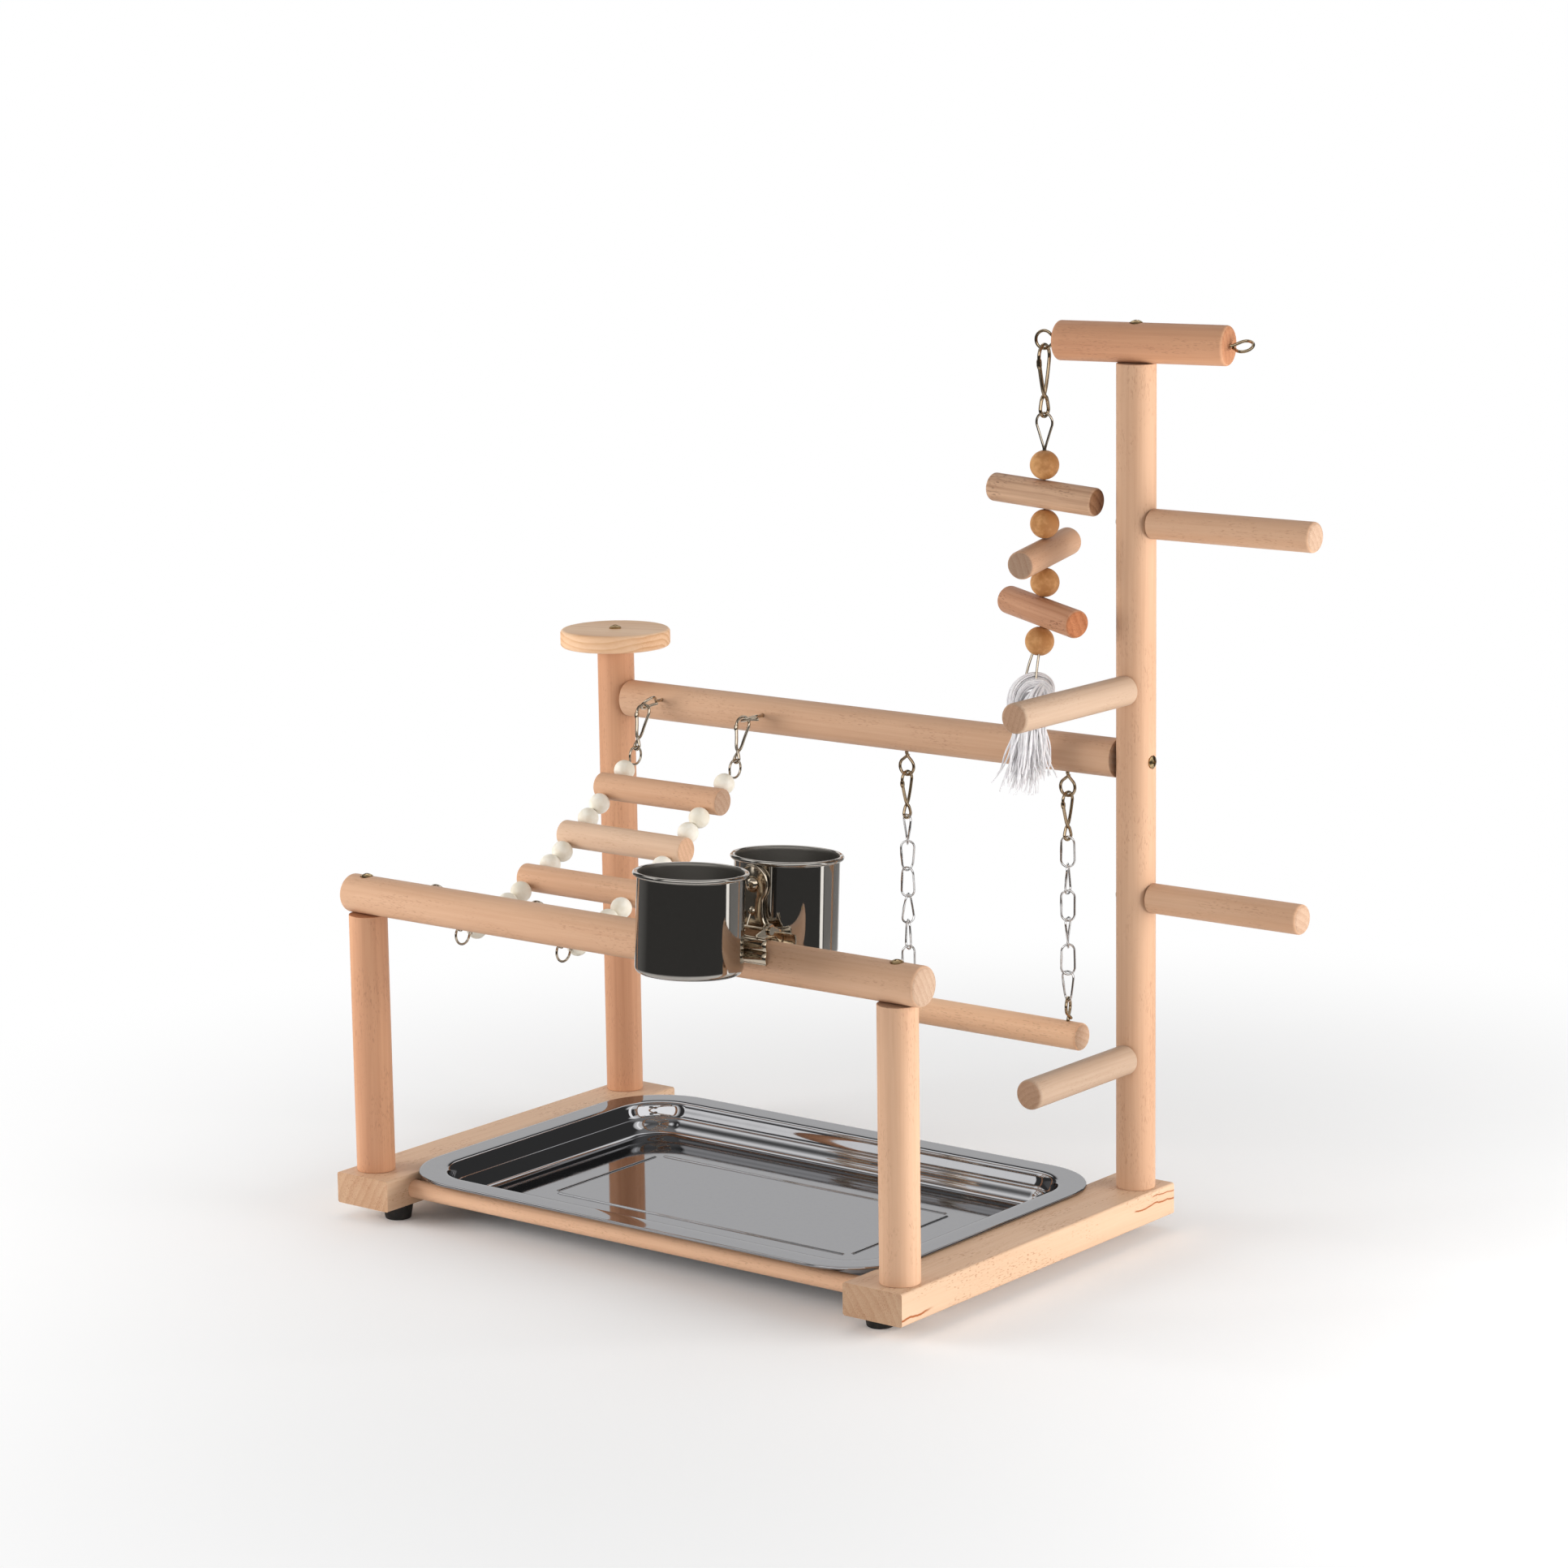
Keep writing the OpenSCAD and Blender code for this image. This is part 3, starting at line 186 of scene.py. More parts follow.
def noise(tree, vector, stretch, detail=2.0, rough=0.5):
    node = tree.nodes.new("ShaderNodeTexNoise")
    plug(tree, vectorCalc(tree, "MULTIPLY", vector, stretch), node.inputs["Vector"])
    node.inputs["Scale"].default_value = 1.0
    node.inputs["Detail"].default_value = detail
    node.inputs["Roughness"].default_value = rough
    return node.outputs[0]


def noiseAroundZero(tree, *values):
    return less(tree, noise(tree, *values), 0.5)


def ease(tree, value, low, high, toLow=0.0, toHigh=1.0):  # a smooth step from toLow to toHigh
    node = tree.nodes.new("ShaderNodeMapRange")
    node.interpolation_type = "SMOOTHSTEP"
    for socket, given in zip(node.inputs, (value, low, high, toLow, toHigh)):
        plug(tree, given, socket)
    return node.outputs[0]


def mixColors(tree, share, first, second, kind="MIX"):
    node = tree.nodes.new("ShaderNodeMix")
    node.data_type = "RGBA"
    node.blend_type = kind
    plug(tree, share, node.inputs[0])
    plug(tree, first, node.inputs[6])
    plug(tree, second, node.inputs[7])
    return node.outputs[2]


# Shared effects
effectOutputs = {"Color": "Color", "Roughness": "Float", "Height": "Float"}
grainNoise = {  # how fine each pattern is along the grain and across it, per metre
    "bend": (7.0, 30.0, 30.0), "streak": (16.0, 640.0, 640.0), "tone": (6.0, 34.0, 34.0),
    "dash": (330.0, 1500.0, 1500.0), "dashPatch": (24.0, 90.0, 90.0), "pore": (1700.0, 1700.0, 1700.0)}
wearNoise = {"smudge": (60.0, 60.0, 60.0), "grime": (300.0, 300.0, 300.0), "scratch": (90.0, 2600.0, 2600.0),
             "swell": (16.0, 16.0, 16.0)}


def buildWoodGrain():  # X of the vector runs along the grain, and the rings lie round its X axis
    numbers = ("End", "Ring Gap", "Ring Power", "Ring Depth", "Streak Depth", "Tone Depth", "Fleck Depth",
               "Wave")
    colors = ("Light", "Dark", "Fleck", "End Tint")
    inputs = {"Vector": "Vector"} | dict.fromkeys(numbers, "Float") | dict.fromkeys(colors, "Color")
    tree, given, result = newTree("ShaderNodeTree", "woodGrain", inputs, effectOutputs)
    place, end, n = given["Vector"], given["End"], grainNoise
    flat = vectorCalc(tree, "MULTIPLY", place, (0.0, 1.0, 1.0))
    bend = product(tree, noiseAroundZero(tree, place, n["bend"]), given["Wave"])
    radius = total(tree, vectorCalc(tree, "LENGTH", flat), bend)
    ring = calc(tree, "FRACT", calc(tree, "DIVIDE", radius, given["Ring Gap"]))
    late = product(tree, calc(tree, "POWER", ring, given["Ring Power"]),
                   ease(tree, ring, 0.82, 1.0, 1.0, 0.0))
    streak = noiseAroundZero(tree, place, n["streak"], 3.0, 0.6)
    tone = noiseAroundZero(tree, place, n["tone"], 1.0)
    dash = product(tree, ease(tree, noise(tree, place, n["dash"], 0.0), 0.62, 0.7),
                   ease(tree, noise(tree, place, n["dashPatch"], 1.0), 0.42, 0.62))
    pore = product(tree, ease(tree, noise(tree, place, n["pore"], 1.0), 0.56, 0.66), end)
    dark = total(tree, 0.3, product(tree, late, given["Ring Depth"]),
                 product(tree, streak, given["Streak Depth"]), product(tree, tone, given["Tone Depth"]),
                 product(tree, late, end, 0.35))
    dark = calc(tree, "MINIMUM", highest(tree, dark, 0.0), 1.0)
    color = mixColors(tree, dark, given["Light"], given["Dark"])
    color = mixColors(tree, product(tree, dash, given["Fleck Depth"]), color, given["Fleck"])
    color = mixColors(tree, end, color, mixColors(tree, 1.0, color, given["End Tint"], "MULTIPLY"))
    plug(tree, mixColors(tree, product(tree, pore, 0.3), color, given["Fleck"]), result["Color"])
    plug(tree, total(tree, 0.5, product(tree, streak, 0.2), product(tree, end, 0.15)), result["Roughness"])
    height = less(tree, product(tree, streak, 0.8), product(tree, dash, 0.5), pore)
    plug(tree, total(tree, height, product(tree, late, 0.4)), result["Height"])
    return tree


def buildMetalWear():  # faint smudges, fine scratches and a slow unevenness of pressed or drawn metal
    inputs = {"Vector": "Vector", "Base": "Color", "Stain": "Color"}
    inputs |= dict.fromkeys(("Stain Depth", "Smooth", "Dull", "Scratch", "Swell"), "Float")
    tree, given, result = newTree("ShaderNodeTree", "metalWear", inputs, effectOutputs)
    place, n = given["Vector"], wearNoise
    smudge = ease(tree, noise(tree, place, n["smudge"], 3.0, 0.6), 0.4, 0.68)
    grime = ease(tree, noise(tree, place, n["grime"], 2.0), 0.45, 0.7)
    plug(tree, mixColors(tree, product(tree, grime, given["Stain Depth"]), given["Base"], given["Stain"]),
         result["Color"])
    spread = less(tree, given["Dull"], given["Smooth"])
    plug(tree, total(tree, given["Smooth"], product(tree, spread, smudge)), result["Roughness"])
    line = product(tree, noise(tree, place, n["scratch"], 1.0), given["Scratch"])
    swell = product(tree, noise(tree, place, n["swell"], 1.0), given["Swell"])
    plug(tree, total(tree, line, swell), result["Height"])
    return tree


woodGrain = buildWoodGrain()
metalWear = buildMetalWear()


# Materials
def newMaterial(name, **fixed):  # fixed values go straight to the shader's own sockets
    material = bpy.data.materials.new(name)
    material.use_nodes = True
    tree = material.node_tree
    shader = tree.nodes["Principled BSDF"]
    for socketName, value in fixed.items():
        shader.inputs[socketName.replace("_", " ")].default_value = value
    return material, tree, shader


def addBump(tree, shader, height, bump):  # bump is a distance in metres and a strength
    node = tree.nodes.new("ShaderNodeBump")
    node.inputs["Distance"].default_value, node.inputs["Strength"].default_value = bump
    tree.links.new(height, node.inputs["Height"])
    tree.links.new(node.outputs[0], shader.inputs["Normal"])


def addGroup(tree, group, shader, bump, values):
    node = tree.nodes.new("ShaderNodeGroup")
    node.node_tree = group
    for socketName, value in values.items():
        plug(tree, value, node.inputs[socketName])
    tree.links.new(node.outputs["Color"], shader.inputs["Base Color"])
    tree.links.new(node.outputs["Roughness"], shader.inputs["Roughness"])
    addBump(tree, shader, node.outputs["Height"], bump)


def lookValues(look, tint=1.0):  # a look's colours, made lighter or darker by the tint, and its numbers
    return {key: paint(*value, tint) if isinstance(value, tuple) else value for key, value in look.items()}


woodBump = (0.0003, 0.35)
woodLooks = {  # colours, then the gap between rings and the waves in them in metres, and strengths
    "beech": {
        "Light": (217, 177, 145), "Dark": (188, 141, 108), "Fleck": (142, 92, 62),
        "End Tint": (226, 237, 248),
        "Ring Gap": 0.0042, "Ring Power": 1.4, "Ring Depth": 0.12, "Streak Depth": 0.5, "Tone Depth": 1.0,
        "Fleck Depth": 0.25, "Wave": 0.007},
    "rosyBeech": {
        "Light": (211, 160, 124), "Dark": (178, 122, 90), "Fleck": (132, 80, 54),
        "End Tint": (226, 214, 204),
        "Ring Gap": 0.005, "Ring Power": 1.4, "Ring Depth": 0.15, "Streak Depth": 0.5, "Tone Depth": 1.0,
        "Fleck Depth": 0.25, "Wave": 0.008},
    "paleBeech": {
        "Light": (214, 184, 158), "Dark": (190, 156, 128), "Fleck": (160, 116, 82),
        "End Tint": (252, 240, 232),
        "Ring Gap": 0.0036, "Ring Power": 1.3, "Ring Depth": 0.2, "Streak Depth": 0.6, "Tone Depth": 0.7,
        "Fleck Depth": 0.2, "Wave": 0.006},
    "linedPine": {
        "Light": (229, 198, 166), "Dark": (200, 154, 114), "Fleck": (172, 108, 64),
        "End Tint": (250, 244, 238),
        "Ring Gap": 0.0042, "Ring Power": 2.2, "Ring Depth": 0.6, "Streak Depth": 0.4, "Tone Depth": 0.7,
        "Fleck Depth": 0.05, "Wave": 0.012},
    "smoothPine": {
        "Light": (226, 193, 162), "Dark": (202, 160, 126), "Fleck": (160, 98, 58),
        "End Tint": (232, 226, 220),
        "Ring Gap": 0.006, "Ring Power": 1.6, "Ring Depth": 0.15, "Streak Depth": 0.5, "Tone Depth": 0.8,
        "Fleck Depth": 0.55, "Wave": 0.012},
    "greyWood": {
        "Light": (190, 156, 128), "Dark": (146, 110, 84), "Fleck": (96, 64, 44),
        "End Tint": (190, 170, 150),
        "Ring Gap": 0.005, "Ring Power": 1.6, "Ring Depth": 0.5, "Streak Depth": 1.2, "Tone Depth": 1.1,
        "Fleck Depth": 0.6, "Wave": 0.01},
    "redWood": {
        "Light": (200, 152, 120), "Dark": (168, 116, 84), "Fleck": (110, 62, 40),
        "End Tint": (236, 206, 180),
        "Ring Gap": 0.005, "Ring Power": 1.6, "Ring Depth": 0.4, "Streak Depth": 1.0, "Tone Depth": 1.0,
        "Fleck Depth": 0.55, "Wave": 0.01},
}


def woodMaterial(name, look, centre, axis, pith, start, tint):
    material, tree, shader = newMaterial(name, Specular_IOR_Level=0.35)
    turn = toRight.rotation_difference(axis).to_matrix().transposed()
    coordinates = tree.nodes.new("ShaderNodeTexCoord").outputs
    mapping = tree.nodes.new("ShaderNodeMapping")
    mapping.inputs["Rotation"].default_value = turn.to_euler()
    mapping.inputs["Location"].default_value = Vector((start, pith[0], pith[1])) - turn @ centre
    tree.links.new(coordinates["Object"], mapping.inputs["Vector"])
    along = vectorCalc(tree, "DOT_PRODUCT", coordinates["Normal"], tuple(axis))
    values = lookValues(woodLooks[look], tint)
    values["End Tint"] = paint(*woodLooks[look]["End Tint"])
    values["Vector"] = mapping.outputs[0]
    values["End"] = ease(tree, calc(tree, "ABSOLUTE", along), 0.6, 0.9)
    addGroup(tree, woodGrain, shader, woodBump, values)
    return material


metalBump = (0.0002, 0.25)
metalLooks = {  # colours, how deep the stain is, roughness where smooth and dull, and heights of the bump
    "nickel": {"Base": (196, 184, 166), "Stain": (150, 128, 104), "Stain Depth": 0.3, "Smooth": 0.06,
               "Dull": 0.12, "Scratch": 0.1, "Swell": 0.2},
    "agedNickel": {"Base": (178, 158, 130), "Stain": (130, 106, 80), "Stain Depth": 0.35, "Smooth": 0.06,
                   "Dull": 0.12, "Scratch": 0.1, "Swell": 0.2},
    "chrome": {"Base": (226, 226, 226), "Stain": (200, 198, 194), "Stain Depth": 0.2, "Smooth": 0.05,
               "Dull": 0.1, "Scratch": 0.05, "Swell": 0.2},
    "brassyPlate": {"Base": (196, 170, 128), "Stain": (120, 90, 56), "Stain Depth": 0.5, "Smooth": 0.2,
                    "Dull": 0.4, "Scratch": 0.6, "Swell": 0.2},
    "cupSteel": {"Base": (172, 168, 162), "Stain": (154, 150, 144), "Stain Depth": 0.15, "Smooth": 0.045,
                 "Dull": 0.07, "Scratch": 0.05, "Swell": 0.3},
    "traySteel": {"Base": (164, 164, 166), "Stain": (154, 154, 156), "Stain Depth": 0.15, "Smooth": 0.035,
                  "Dull": 0.06, "Scratch": 0.05, "Swell": 0.8},
}
grazingShine = {"traySteel": 0.68}  # of a metal that mirrors less than all at a low angle


def metalMaterial(name):
    shine = grazingShine.get(name, 1.0)
    material, tree, shader = newMaterial(name, Metallic=1.0, Specular_Tint=(shine, shine, shine, 1))
    values = lookValues(metalLooks[name])
    values["Vector"] = tree.nodes.new("ShaderNodeTexCoord").outputs["Object"]
    addGroup(tree, metalWear, shader, metalBump, values)
    return material


nickel, agedNickel, chrome, brassyPlate, cupSteel, traySteel = (metalMaterial(name) for name in metalLooks)

softLooks = {
    "rubber": {"colors": ((20, 18, 17), (36, 34, 32)), "stretch": 900.0, "bump": (0.0002, 0.3),
               "rough": 0.62, "sheen": 0.0},
    "ivoryBead": {"colors": ((246, 241, 229), (234, 226, 208)), "stretch": 130.0, "bump": (0.0002, 0.12),
                  "rough": 0.42, "sheen": 0.0},
    "ochreBead": {"colors": ((204, 152, 98), (176, 122, 72)), "stretch": 170.0, "bump": (0.0002, 0.15),
                  "rough": 0.5, "sheen": 0.0},
    "cotton": {"colors": ((250, 249, 250), (236, 234, 237)), "stretch": 1400.0, "bump": (0.0004, 0.6),
               "rough": 0.9, "sheen": 0.4},
}


def softMaterial(name):
    s = softLooks[name]
    material, tree, shader = newMaterial(name, Sheen_Weight=s["sheen"], Specular_IOR_Level=0.4)
    coordinates = tree.nodes.new("ShaderNodeTexCoord").outputs["Object"]
    coarse = noise(tree, coordinates, (s["stretch"] / 4,) * 3)
    fine = noise(tree, coordinates, (s["stretch"] * 2,) * 3)
    shade = ease(tree, total(tree, product(tree, coarse, 0.6), product(tree, fine, 0.4)), 0.38, 0.62)
    first, second = (paint(*color) for color in s["colors"])
    plug(tree, mixColors(tree, shade, first, second), shader.inputs["Base Color"])
    plug(tree, total(tree, s["rough"] - 0.05, product(tree, fine, 0.1)), shader.inputs["Roughness"])
    addBump(tree, shader, fine, s["bump"])
    return material


rubber, ivoryBead, ochreBead, cotton = (softMaterial(name) for name in softLooks)
print("materials built")


# Mesh helpers
def linked(name, data):
    piece = bpy.data.objects.new(name, data)
    scene.collection.objects.link(piece)
    return piece


def newPiece(name, points, faces, material=None):
    mesh = bpy.data.meshes.new(name)
    mesh.from_pydata([tuple(p) for p in points], [], faces)
    mesh.update()
    for face in mesh.polygons:
        face.use_smooth = True
    if material:
        mesh.materials.append(material)
    return linked(name, mesh)


def finished(piece, body, slotName, *replaced):
    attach(piece, body)
    if replaced:
        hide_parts(*replaced)


def onCircle(radius, degrees):
    return radius * math.cos(math.radians(degrees)), radius * math.sin(math.radians(degrees))


def arcPoints(centre, radius, fromAngle, toAngle, steps):  # in the plane of the two coordinates
    points = []
    for i in range(steps + 1):
        x, y = onCircle(radius, fromAngle + (toAngle - fromAngle) * i / steps)
        points.append((centre[0] + x, centre[1] + y))
    return points


def softened(points, rounds=2):  # cuts corners, and keeps the two ends
    points = [Vector(p) for p in points]
    for _ in range(rounds):
        cut = [q for a, b in zip(points, points[1:]) for q in (a.lerp(b, 0.25), a.lerp(b, 0.75))]
        points = [points[0]] + cut[1:-1] + [points[-1]]
    return points


def spun(profile, steps, closed):  # turns points (radius, height) about Z, where an open profile ends on Z
    points, rings = [], []
    for radius, height in profile:
        if radius < 1e-6:
            rings.append([len(points)] * steps)
            points.append((0.0, 0.0, height))
        else:
            rings.append([len(points) + k for k in range(steps)])
            points += [(*onCircle(radius, 360 * k / steps), height) for k in range(steps)]
    faces = []
    for first, second in zip(rings, rings[1:] + rings[:1] if closed else rings[1:]):
        for k in range(steps):
            corners = [first[k], first[(k + 1) % steps], second[(k + 1) % steps], second[k]]
            kept = [c for i, c in enumerate(corners) if c != corners[i - 1]]
            if len(kept) > 2:
                faces.append(kept)
    return points, faces


def bandFaces(first, second, count):  # between two rings of points, from the number of each ring's first
    return [(first + i, first + (i + 1) % count, second + (i + 1) % count, second + i) for i in range(count)]


# Geometry node trees
shapeSocket = {"Geometry": "Geometry"}


def geometryNode(tree, kind, inputs, output=0):
    node = tree.nodes.new(kind)
    for key, value in inputs.items():
        plug(tree, value, node.inputs[key])
    return node.outputs[output]


def namedValue(tree, name, kind):
    node = tree.nodes.new("GeometryNodeInputNamedAttribute")
    node.data_type = kind
    node.inputs["Name"].default_value = name
    return node.outputs[0]


def endTree(tree, geometry, finish, result):
    shade = geometryNode(tree, "GeometryNodeSetShadeSmooth", {"Geometry": geometry})
    real = geometryNode(tree, "GeometryNodeRealizeInstances", {"Geometry": shade})
    dressed = geometryNode(tree, "GeometryNodeSetMaterial", {"Geometry": real, "Material": finish})
    plug(tree, dressed, result[0])
    return tree


def buildWireTree():  # a round wire along each run of edges, as thick at each point as its "thick" says
    inputs = shapeSocket | {"Wire Radius": "Float", "Sides": "Int", "Finish": "Material"}
    tree, given, result = newTree("GeometryNodeTree", "wireAlongPath", inputs, shapeSocket)
    thick = namedValue(tree, "thick", "FLOAT")
    curve = geometryNode(tree, "GeometryNodeMeshToCurve", {0: given["Geometry"]})
    curve = geometryNode(tree, "GeometryNodeSetCurveRadius", {"Curve": curve, "Radius": thick})
    circle = geometryNode(tree, "GeometryNodeCurvePrimitiveCircle",
                          {"Resolution": given["Sides"], "Radius": given["Wire Radius"]})
    sweep = tree.nodes.new("GeometryNodeCurveToMesh")
    sweepInputs = {"Curve": curve, "Profile Curve": circle, "Fill Caps": True, "Scale": thick}
    for key, value in sweepInputs.items():
        if key in sweep.inputs:  # without a Scale there the sweep follows the curve's radius
            plug(tree, value, sweep.inputs[key])
    return endTree(tree, sweep.outputs[0], given["Finish"], result)


def buildRepeatTree():  # one copy of a piece at each point, turned as its "turn" says
    inputs = shapeSocket | {"Piece": "Object", "Size": "Float", "Finish": "Material"}
    tree, given, result = newTree("GeometryNodeTree", "repeatAtPoints", inputs, shapeSocket)
    source = geometryNode(tree, "GeometryNodeObjectInfo", {"Object": given["Piece"]}, "Geometry")
    turn = geometryNode(tree, "FunctionNodeEulerToRotation", {0: namedValue(tree, "turn", "FLOAT_VECTOR")})
    points = geometryNode(tree, "GeometryNodeMeshToPoints", {"Mesh": given["Geometry"]})
    copies = geometryNode(tree, "GeometryNodeInstanceOnPoints",
                          {"Points": points, "Instance": source, "Rotation": turn, "Scale": given["Size"]})
    return endTree(tree, copies, given["Finish"], result)


wireTree = buildWireTree()
repeatTree = buildRepeatTree()


def grown(piece, tree, **values):  # runs a tree on a piece once, and keeps what it makes as a plain mesh
    modifier = piece.modifiers.new(tree.name, "NODES")
    modifier.node_group = tree
    for item in tree.interface.items_tree:
        key = item.name.replace(" ", "_")
        if item.in_out == "INPUT" and key in values:
            modifier[item.identifier] = values[key]
    graph = bpy.context.evaluated_depsgraph_get()
    mesh = bpy.data.meshes.new_from_object(piece.evaluated_get(graph), preserve_all_data_layers=True,
                                           depsgraph=graph)
    piece.modifiers.clear()
    old, piece.data = piece.data, mesh
    bpy.data.meshes.remove(old)
    mesh.name = piece.name
    for name in [a.name for a in mesh.attributes if a.name in ("thick", "turn")]:
        mesh.attributes.remove(mesh.attributes[name])
    return piece


def pathPiece(name, points, edges, valueName, kind, field, values):  # bare points and edges with a value each
    mesh = bpy.data.meshes.new(name)
    mesh.from_pydata([tuple(p) for p in points], edges, [])
    mesh.attributes.new(valueName, kind, "POINT").data.foreach_set(field, values)
    return linked(name, mesh)


def wirePiece(name, runs, radius, material, sides=12):  # runs are (points in metres, closed, thickness)
    points, edges, thick = [], [], []
    for line, closed, share in runs:
        first = len(points)
        points += line
        thick += share if isinstance(share, list) else [share] * len(line)
        edges += [(first + i, first + i + 1) for i in range(len(line) - 1)]
        if closed:
            edges.append((first + len(line) - 1, first))
    piece = pathPiece(name, points, edges, "thick", "FLOAT", "value", thick)
    return grown(piece, wireTree, Wire_Radius=radius * mm, Sides=sides, Finish=material)


def repeatPiece(name, source, places, material):  # places are matrices, and the source is drawn in mm
    points = [m.to_translation() for m in places]
    turns = [angle for m in places for angle in m.to_euler()]
    piece = pathPiece(name, points, [], "turn", "FLOAT_VECTOR", "vector", turns)
    grown(piece, repeatTree, Piece=source, Size=mm, Finish=material)
    bpy.data.objects.remove(source)
    return piece


def placedRun(matrix, points, closed=False, thick=1.0):
    return ([matrix @ Vector(p) for p in points], closed, thick)


# Wood
def heading(turn, tilt=0.0):  # the X axis turned about Z after a tilt about Y
    return (turned(0, 0, turn) @ turned(0, tilt, 0)).to_3x3() @ toRight


# For each piece its look, the grain's direction, the pith seen from the piece's middle and the start along
# the grain, both in metres, and a tint
woodPieces = {
    "left_base_board": ("smoothPine", toBack, (0.052, 0.03), 0.1, 0.98),
    "right_base_board": ("smoothPine", toBack, (-0.05, 0.034), 0.7, 0.95),
    "front_stretcher": ("beech", toRight, (0.05, 0.04), 1.3, 1.06),
    "rear_stretcher": ("beech", toRight, (0.06, 0.02), 1.9, 0.97),
    "front_left_leg": ("rosyBeech", toTop, (0.07, 0.01), 2.2, 1.0),
    "front_right_leg": ("beech", toTop, (0.05, 0.05), 2.9, 1.0),
    "back_left_post": ("rosyBeech", toTop, (0.06, -0.03), 3.4, 0.99),
    "back_right_post": ("beech", toTop, (0.04, 0.07), 4.3, 0.96),
    "front_rail": ("beech", toRight, (0.06, 0.03), 5.2, 1.0),
    "back_rail": ("beech", toRight, (0.03, 0.07), 6.1, 0.97),
    "disc_platform": ("linedPine", heading(18), (0.02, 0.045), 7.0, 1.06),
    "top_perch": ("rosyBeech", heading(10), (0.08, 0.03), 7.6, 1.0),
    "upper_side_perch": ("beech", toRight, (0.05, 0.03), 8.3, 0.98),
    "lower_side_perch": ("beech", toRight, (0.04, 0.06), 8.8, 0.99),
    "upper_front_perch": ("paleBeech", toBack, (0.05, 0.02), 9.3, 0.88),
    "lower_front_perch": ("paleBeech", toBack, (0.018, 0.03), 9.8, 0.84),
    "swing_bar": ("beech", toRight, (0.03, 0.06), 10.4, 1.2),
    "ladder_rung_1": ("beech", toRight, (0.02, 0.016), 11.0, 1.02),
    "ladder_rung_2": ("paleBeech", toRight, (0.06, 0.03), 11.6, 1.06),
    "ladder_rung_3": ("beech", toRight, (0.05, 0.06), 12.2, 1.04),
    "ladder_rung_4": ("beech", toRight, (0.03, 0.05), 12.8, 1.04),
    "toy_stick_1": ("greyWood", heading(0, 3.6), (0.03, 0.03), 13.4, 1.1),
    "toy_stick_2": ("beech", heading(-78, 4), (0.04, 0.02), 14.0, 0.9),
    "toy_stick_3": ("redWood", heading(-22, 4.6), (0.05, 0.02), 14.6, 1.0),
}
screwMetals = {
    "front_rail_screws": brassyPlate, "back_rail_screws": brassyPlate, "disc_screw": brassyPlate,
    "top_perch_screw": brassyPlate, "perch_screws": brassyPlate, "foot_screws": nickel, "post_screws": nickel,
    "clip_pin": nickel, "front_cup_rivets": nickel, "rear_cup_rivets": nickel}
boardCracks = {  # near end, far end and height of each crack and half its width, in metres
    "cracks": [(-0.16, -0.092, 0.0145, 0.0009), (-0.16, -0.13, 0.018, 0.0005),
               (0.12, 0.2, 0.0215, 0.0007), (0.14, 0.2, 0.0265, 0.0005)],
    "color": (158, 88, 42), "sway": 0.004, "swayNoise": (20, 90, 20), "nearFade": 0.004, "farFade": 0.012}


def dress(nodeName, material):  # a kept node only gets a material
    for slot in frame["nodes"][nodeName].material_slots:
        slot.material = material


def addCracks(material, s):  # splits along the grain in the right side of a board that lies along Y
    tree = material.node_tree
    shader = tree.nodes["Principled BSDF"]
    coordinates = tree.nodes.new("ShaderNodeTexCoord").outputs
    place = coordinates["Object"]
    side = ease(tree, vectorCalc(tree, "DOT_PRODUCT", coordinates["Normal"], tuple(toRight)), 0.2, 0.7)
    parts = tree.nodes.new("ShaderNodeSeparateXYZ")
    tree.links.new(place, parts.inputs[0])
    sway = product(tree, noiseAroundZero(tree, place, s["swayNoise"], 3.0), s["sway"])
    mask = 0.0
    for nearEnd, farEnd, height, half in s["cracks"]:
        off = calc(tree, "ABSOLUTE", less(tree, parts.outputs["Z"], sway, height))
        ends = product(tree, ease(tree, parts.outputs["Y"], nearEnd, nearEnd + s["nearFade"]),
                       ease(tree, parts.outputs["Y"], farEnd - s["farFade"], farEnd, 1.0, 0.0))
        mask = highest(tree, mask, product(tree, ease(tree, off, half * 0.4, half, 1.0, 0.0), ends))
    socket = shader.inputs["Base Color"]
    mask = product(tree, mask, side)
    plug(tree, mixColors(tree, mask, socket.links[0].from_socket, paint(*s["color"])), socket)


for nodeName, (look, axis, pith, start, tint) in woodPieces.items():
    low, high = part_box(nodeName)
    dress(nodeName, woodMaterial(nodeName + "_wood", look, (low + high) / 2, axis, pith, start, tint))
addCracks(bpy.data.materials["right_base_board_wood"], boardCracks)
for nodeName, metal in screwMetals.items():
    dress(nodeName, metal)
print("wood and screws dressed")

# Rubber feet
footSizes = {"lowRadius": 8.5, "topRadius": 10.0, "height": 10.0, "recessRadius": 4.5, "recessDepth": 5.0,
             "edge": 0.9, "spanX": 393.0, "spanY": 248.0}


def rubberFeet(s):
    e = s["edge"]
    profile = [(0.0, s["recessDepth"]), (s["recessRadius"], s["recessDepth"]), (s["recessRadius"], e)]
    profile += arcPoints((s["recessRadius"] + e, e), e, 180, 270, 4)[1:]
    profile += arcPoints((s["lowRadius"] - e, e), e, -90, 0, 5)
    profile += arcPoints((s["topRadius"] - e / 2, s["height"] - e / 2), e / 2, 0, 90, 4)
    shape = newPiece("footShape", *spun(profile + [(0.0, s["height"])], 64, False))
    places = [standFrame @ moved(i * s["spanX"] / 2, j * s["spanY"] / 2, 0) for i in (-1, 1) for j in (-1, 1)]
    finished(repeatPiece("feet", shape, places, rubber), "stand", "rubber", "rubber_feet")


rubberFeet(footSizes)

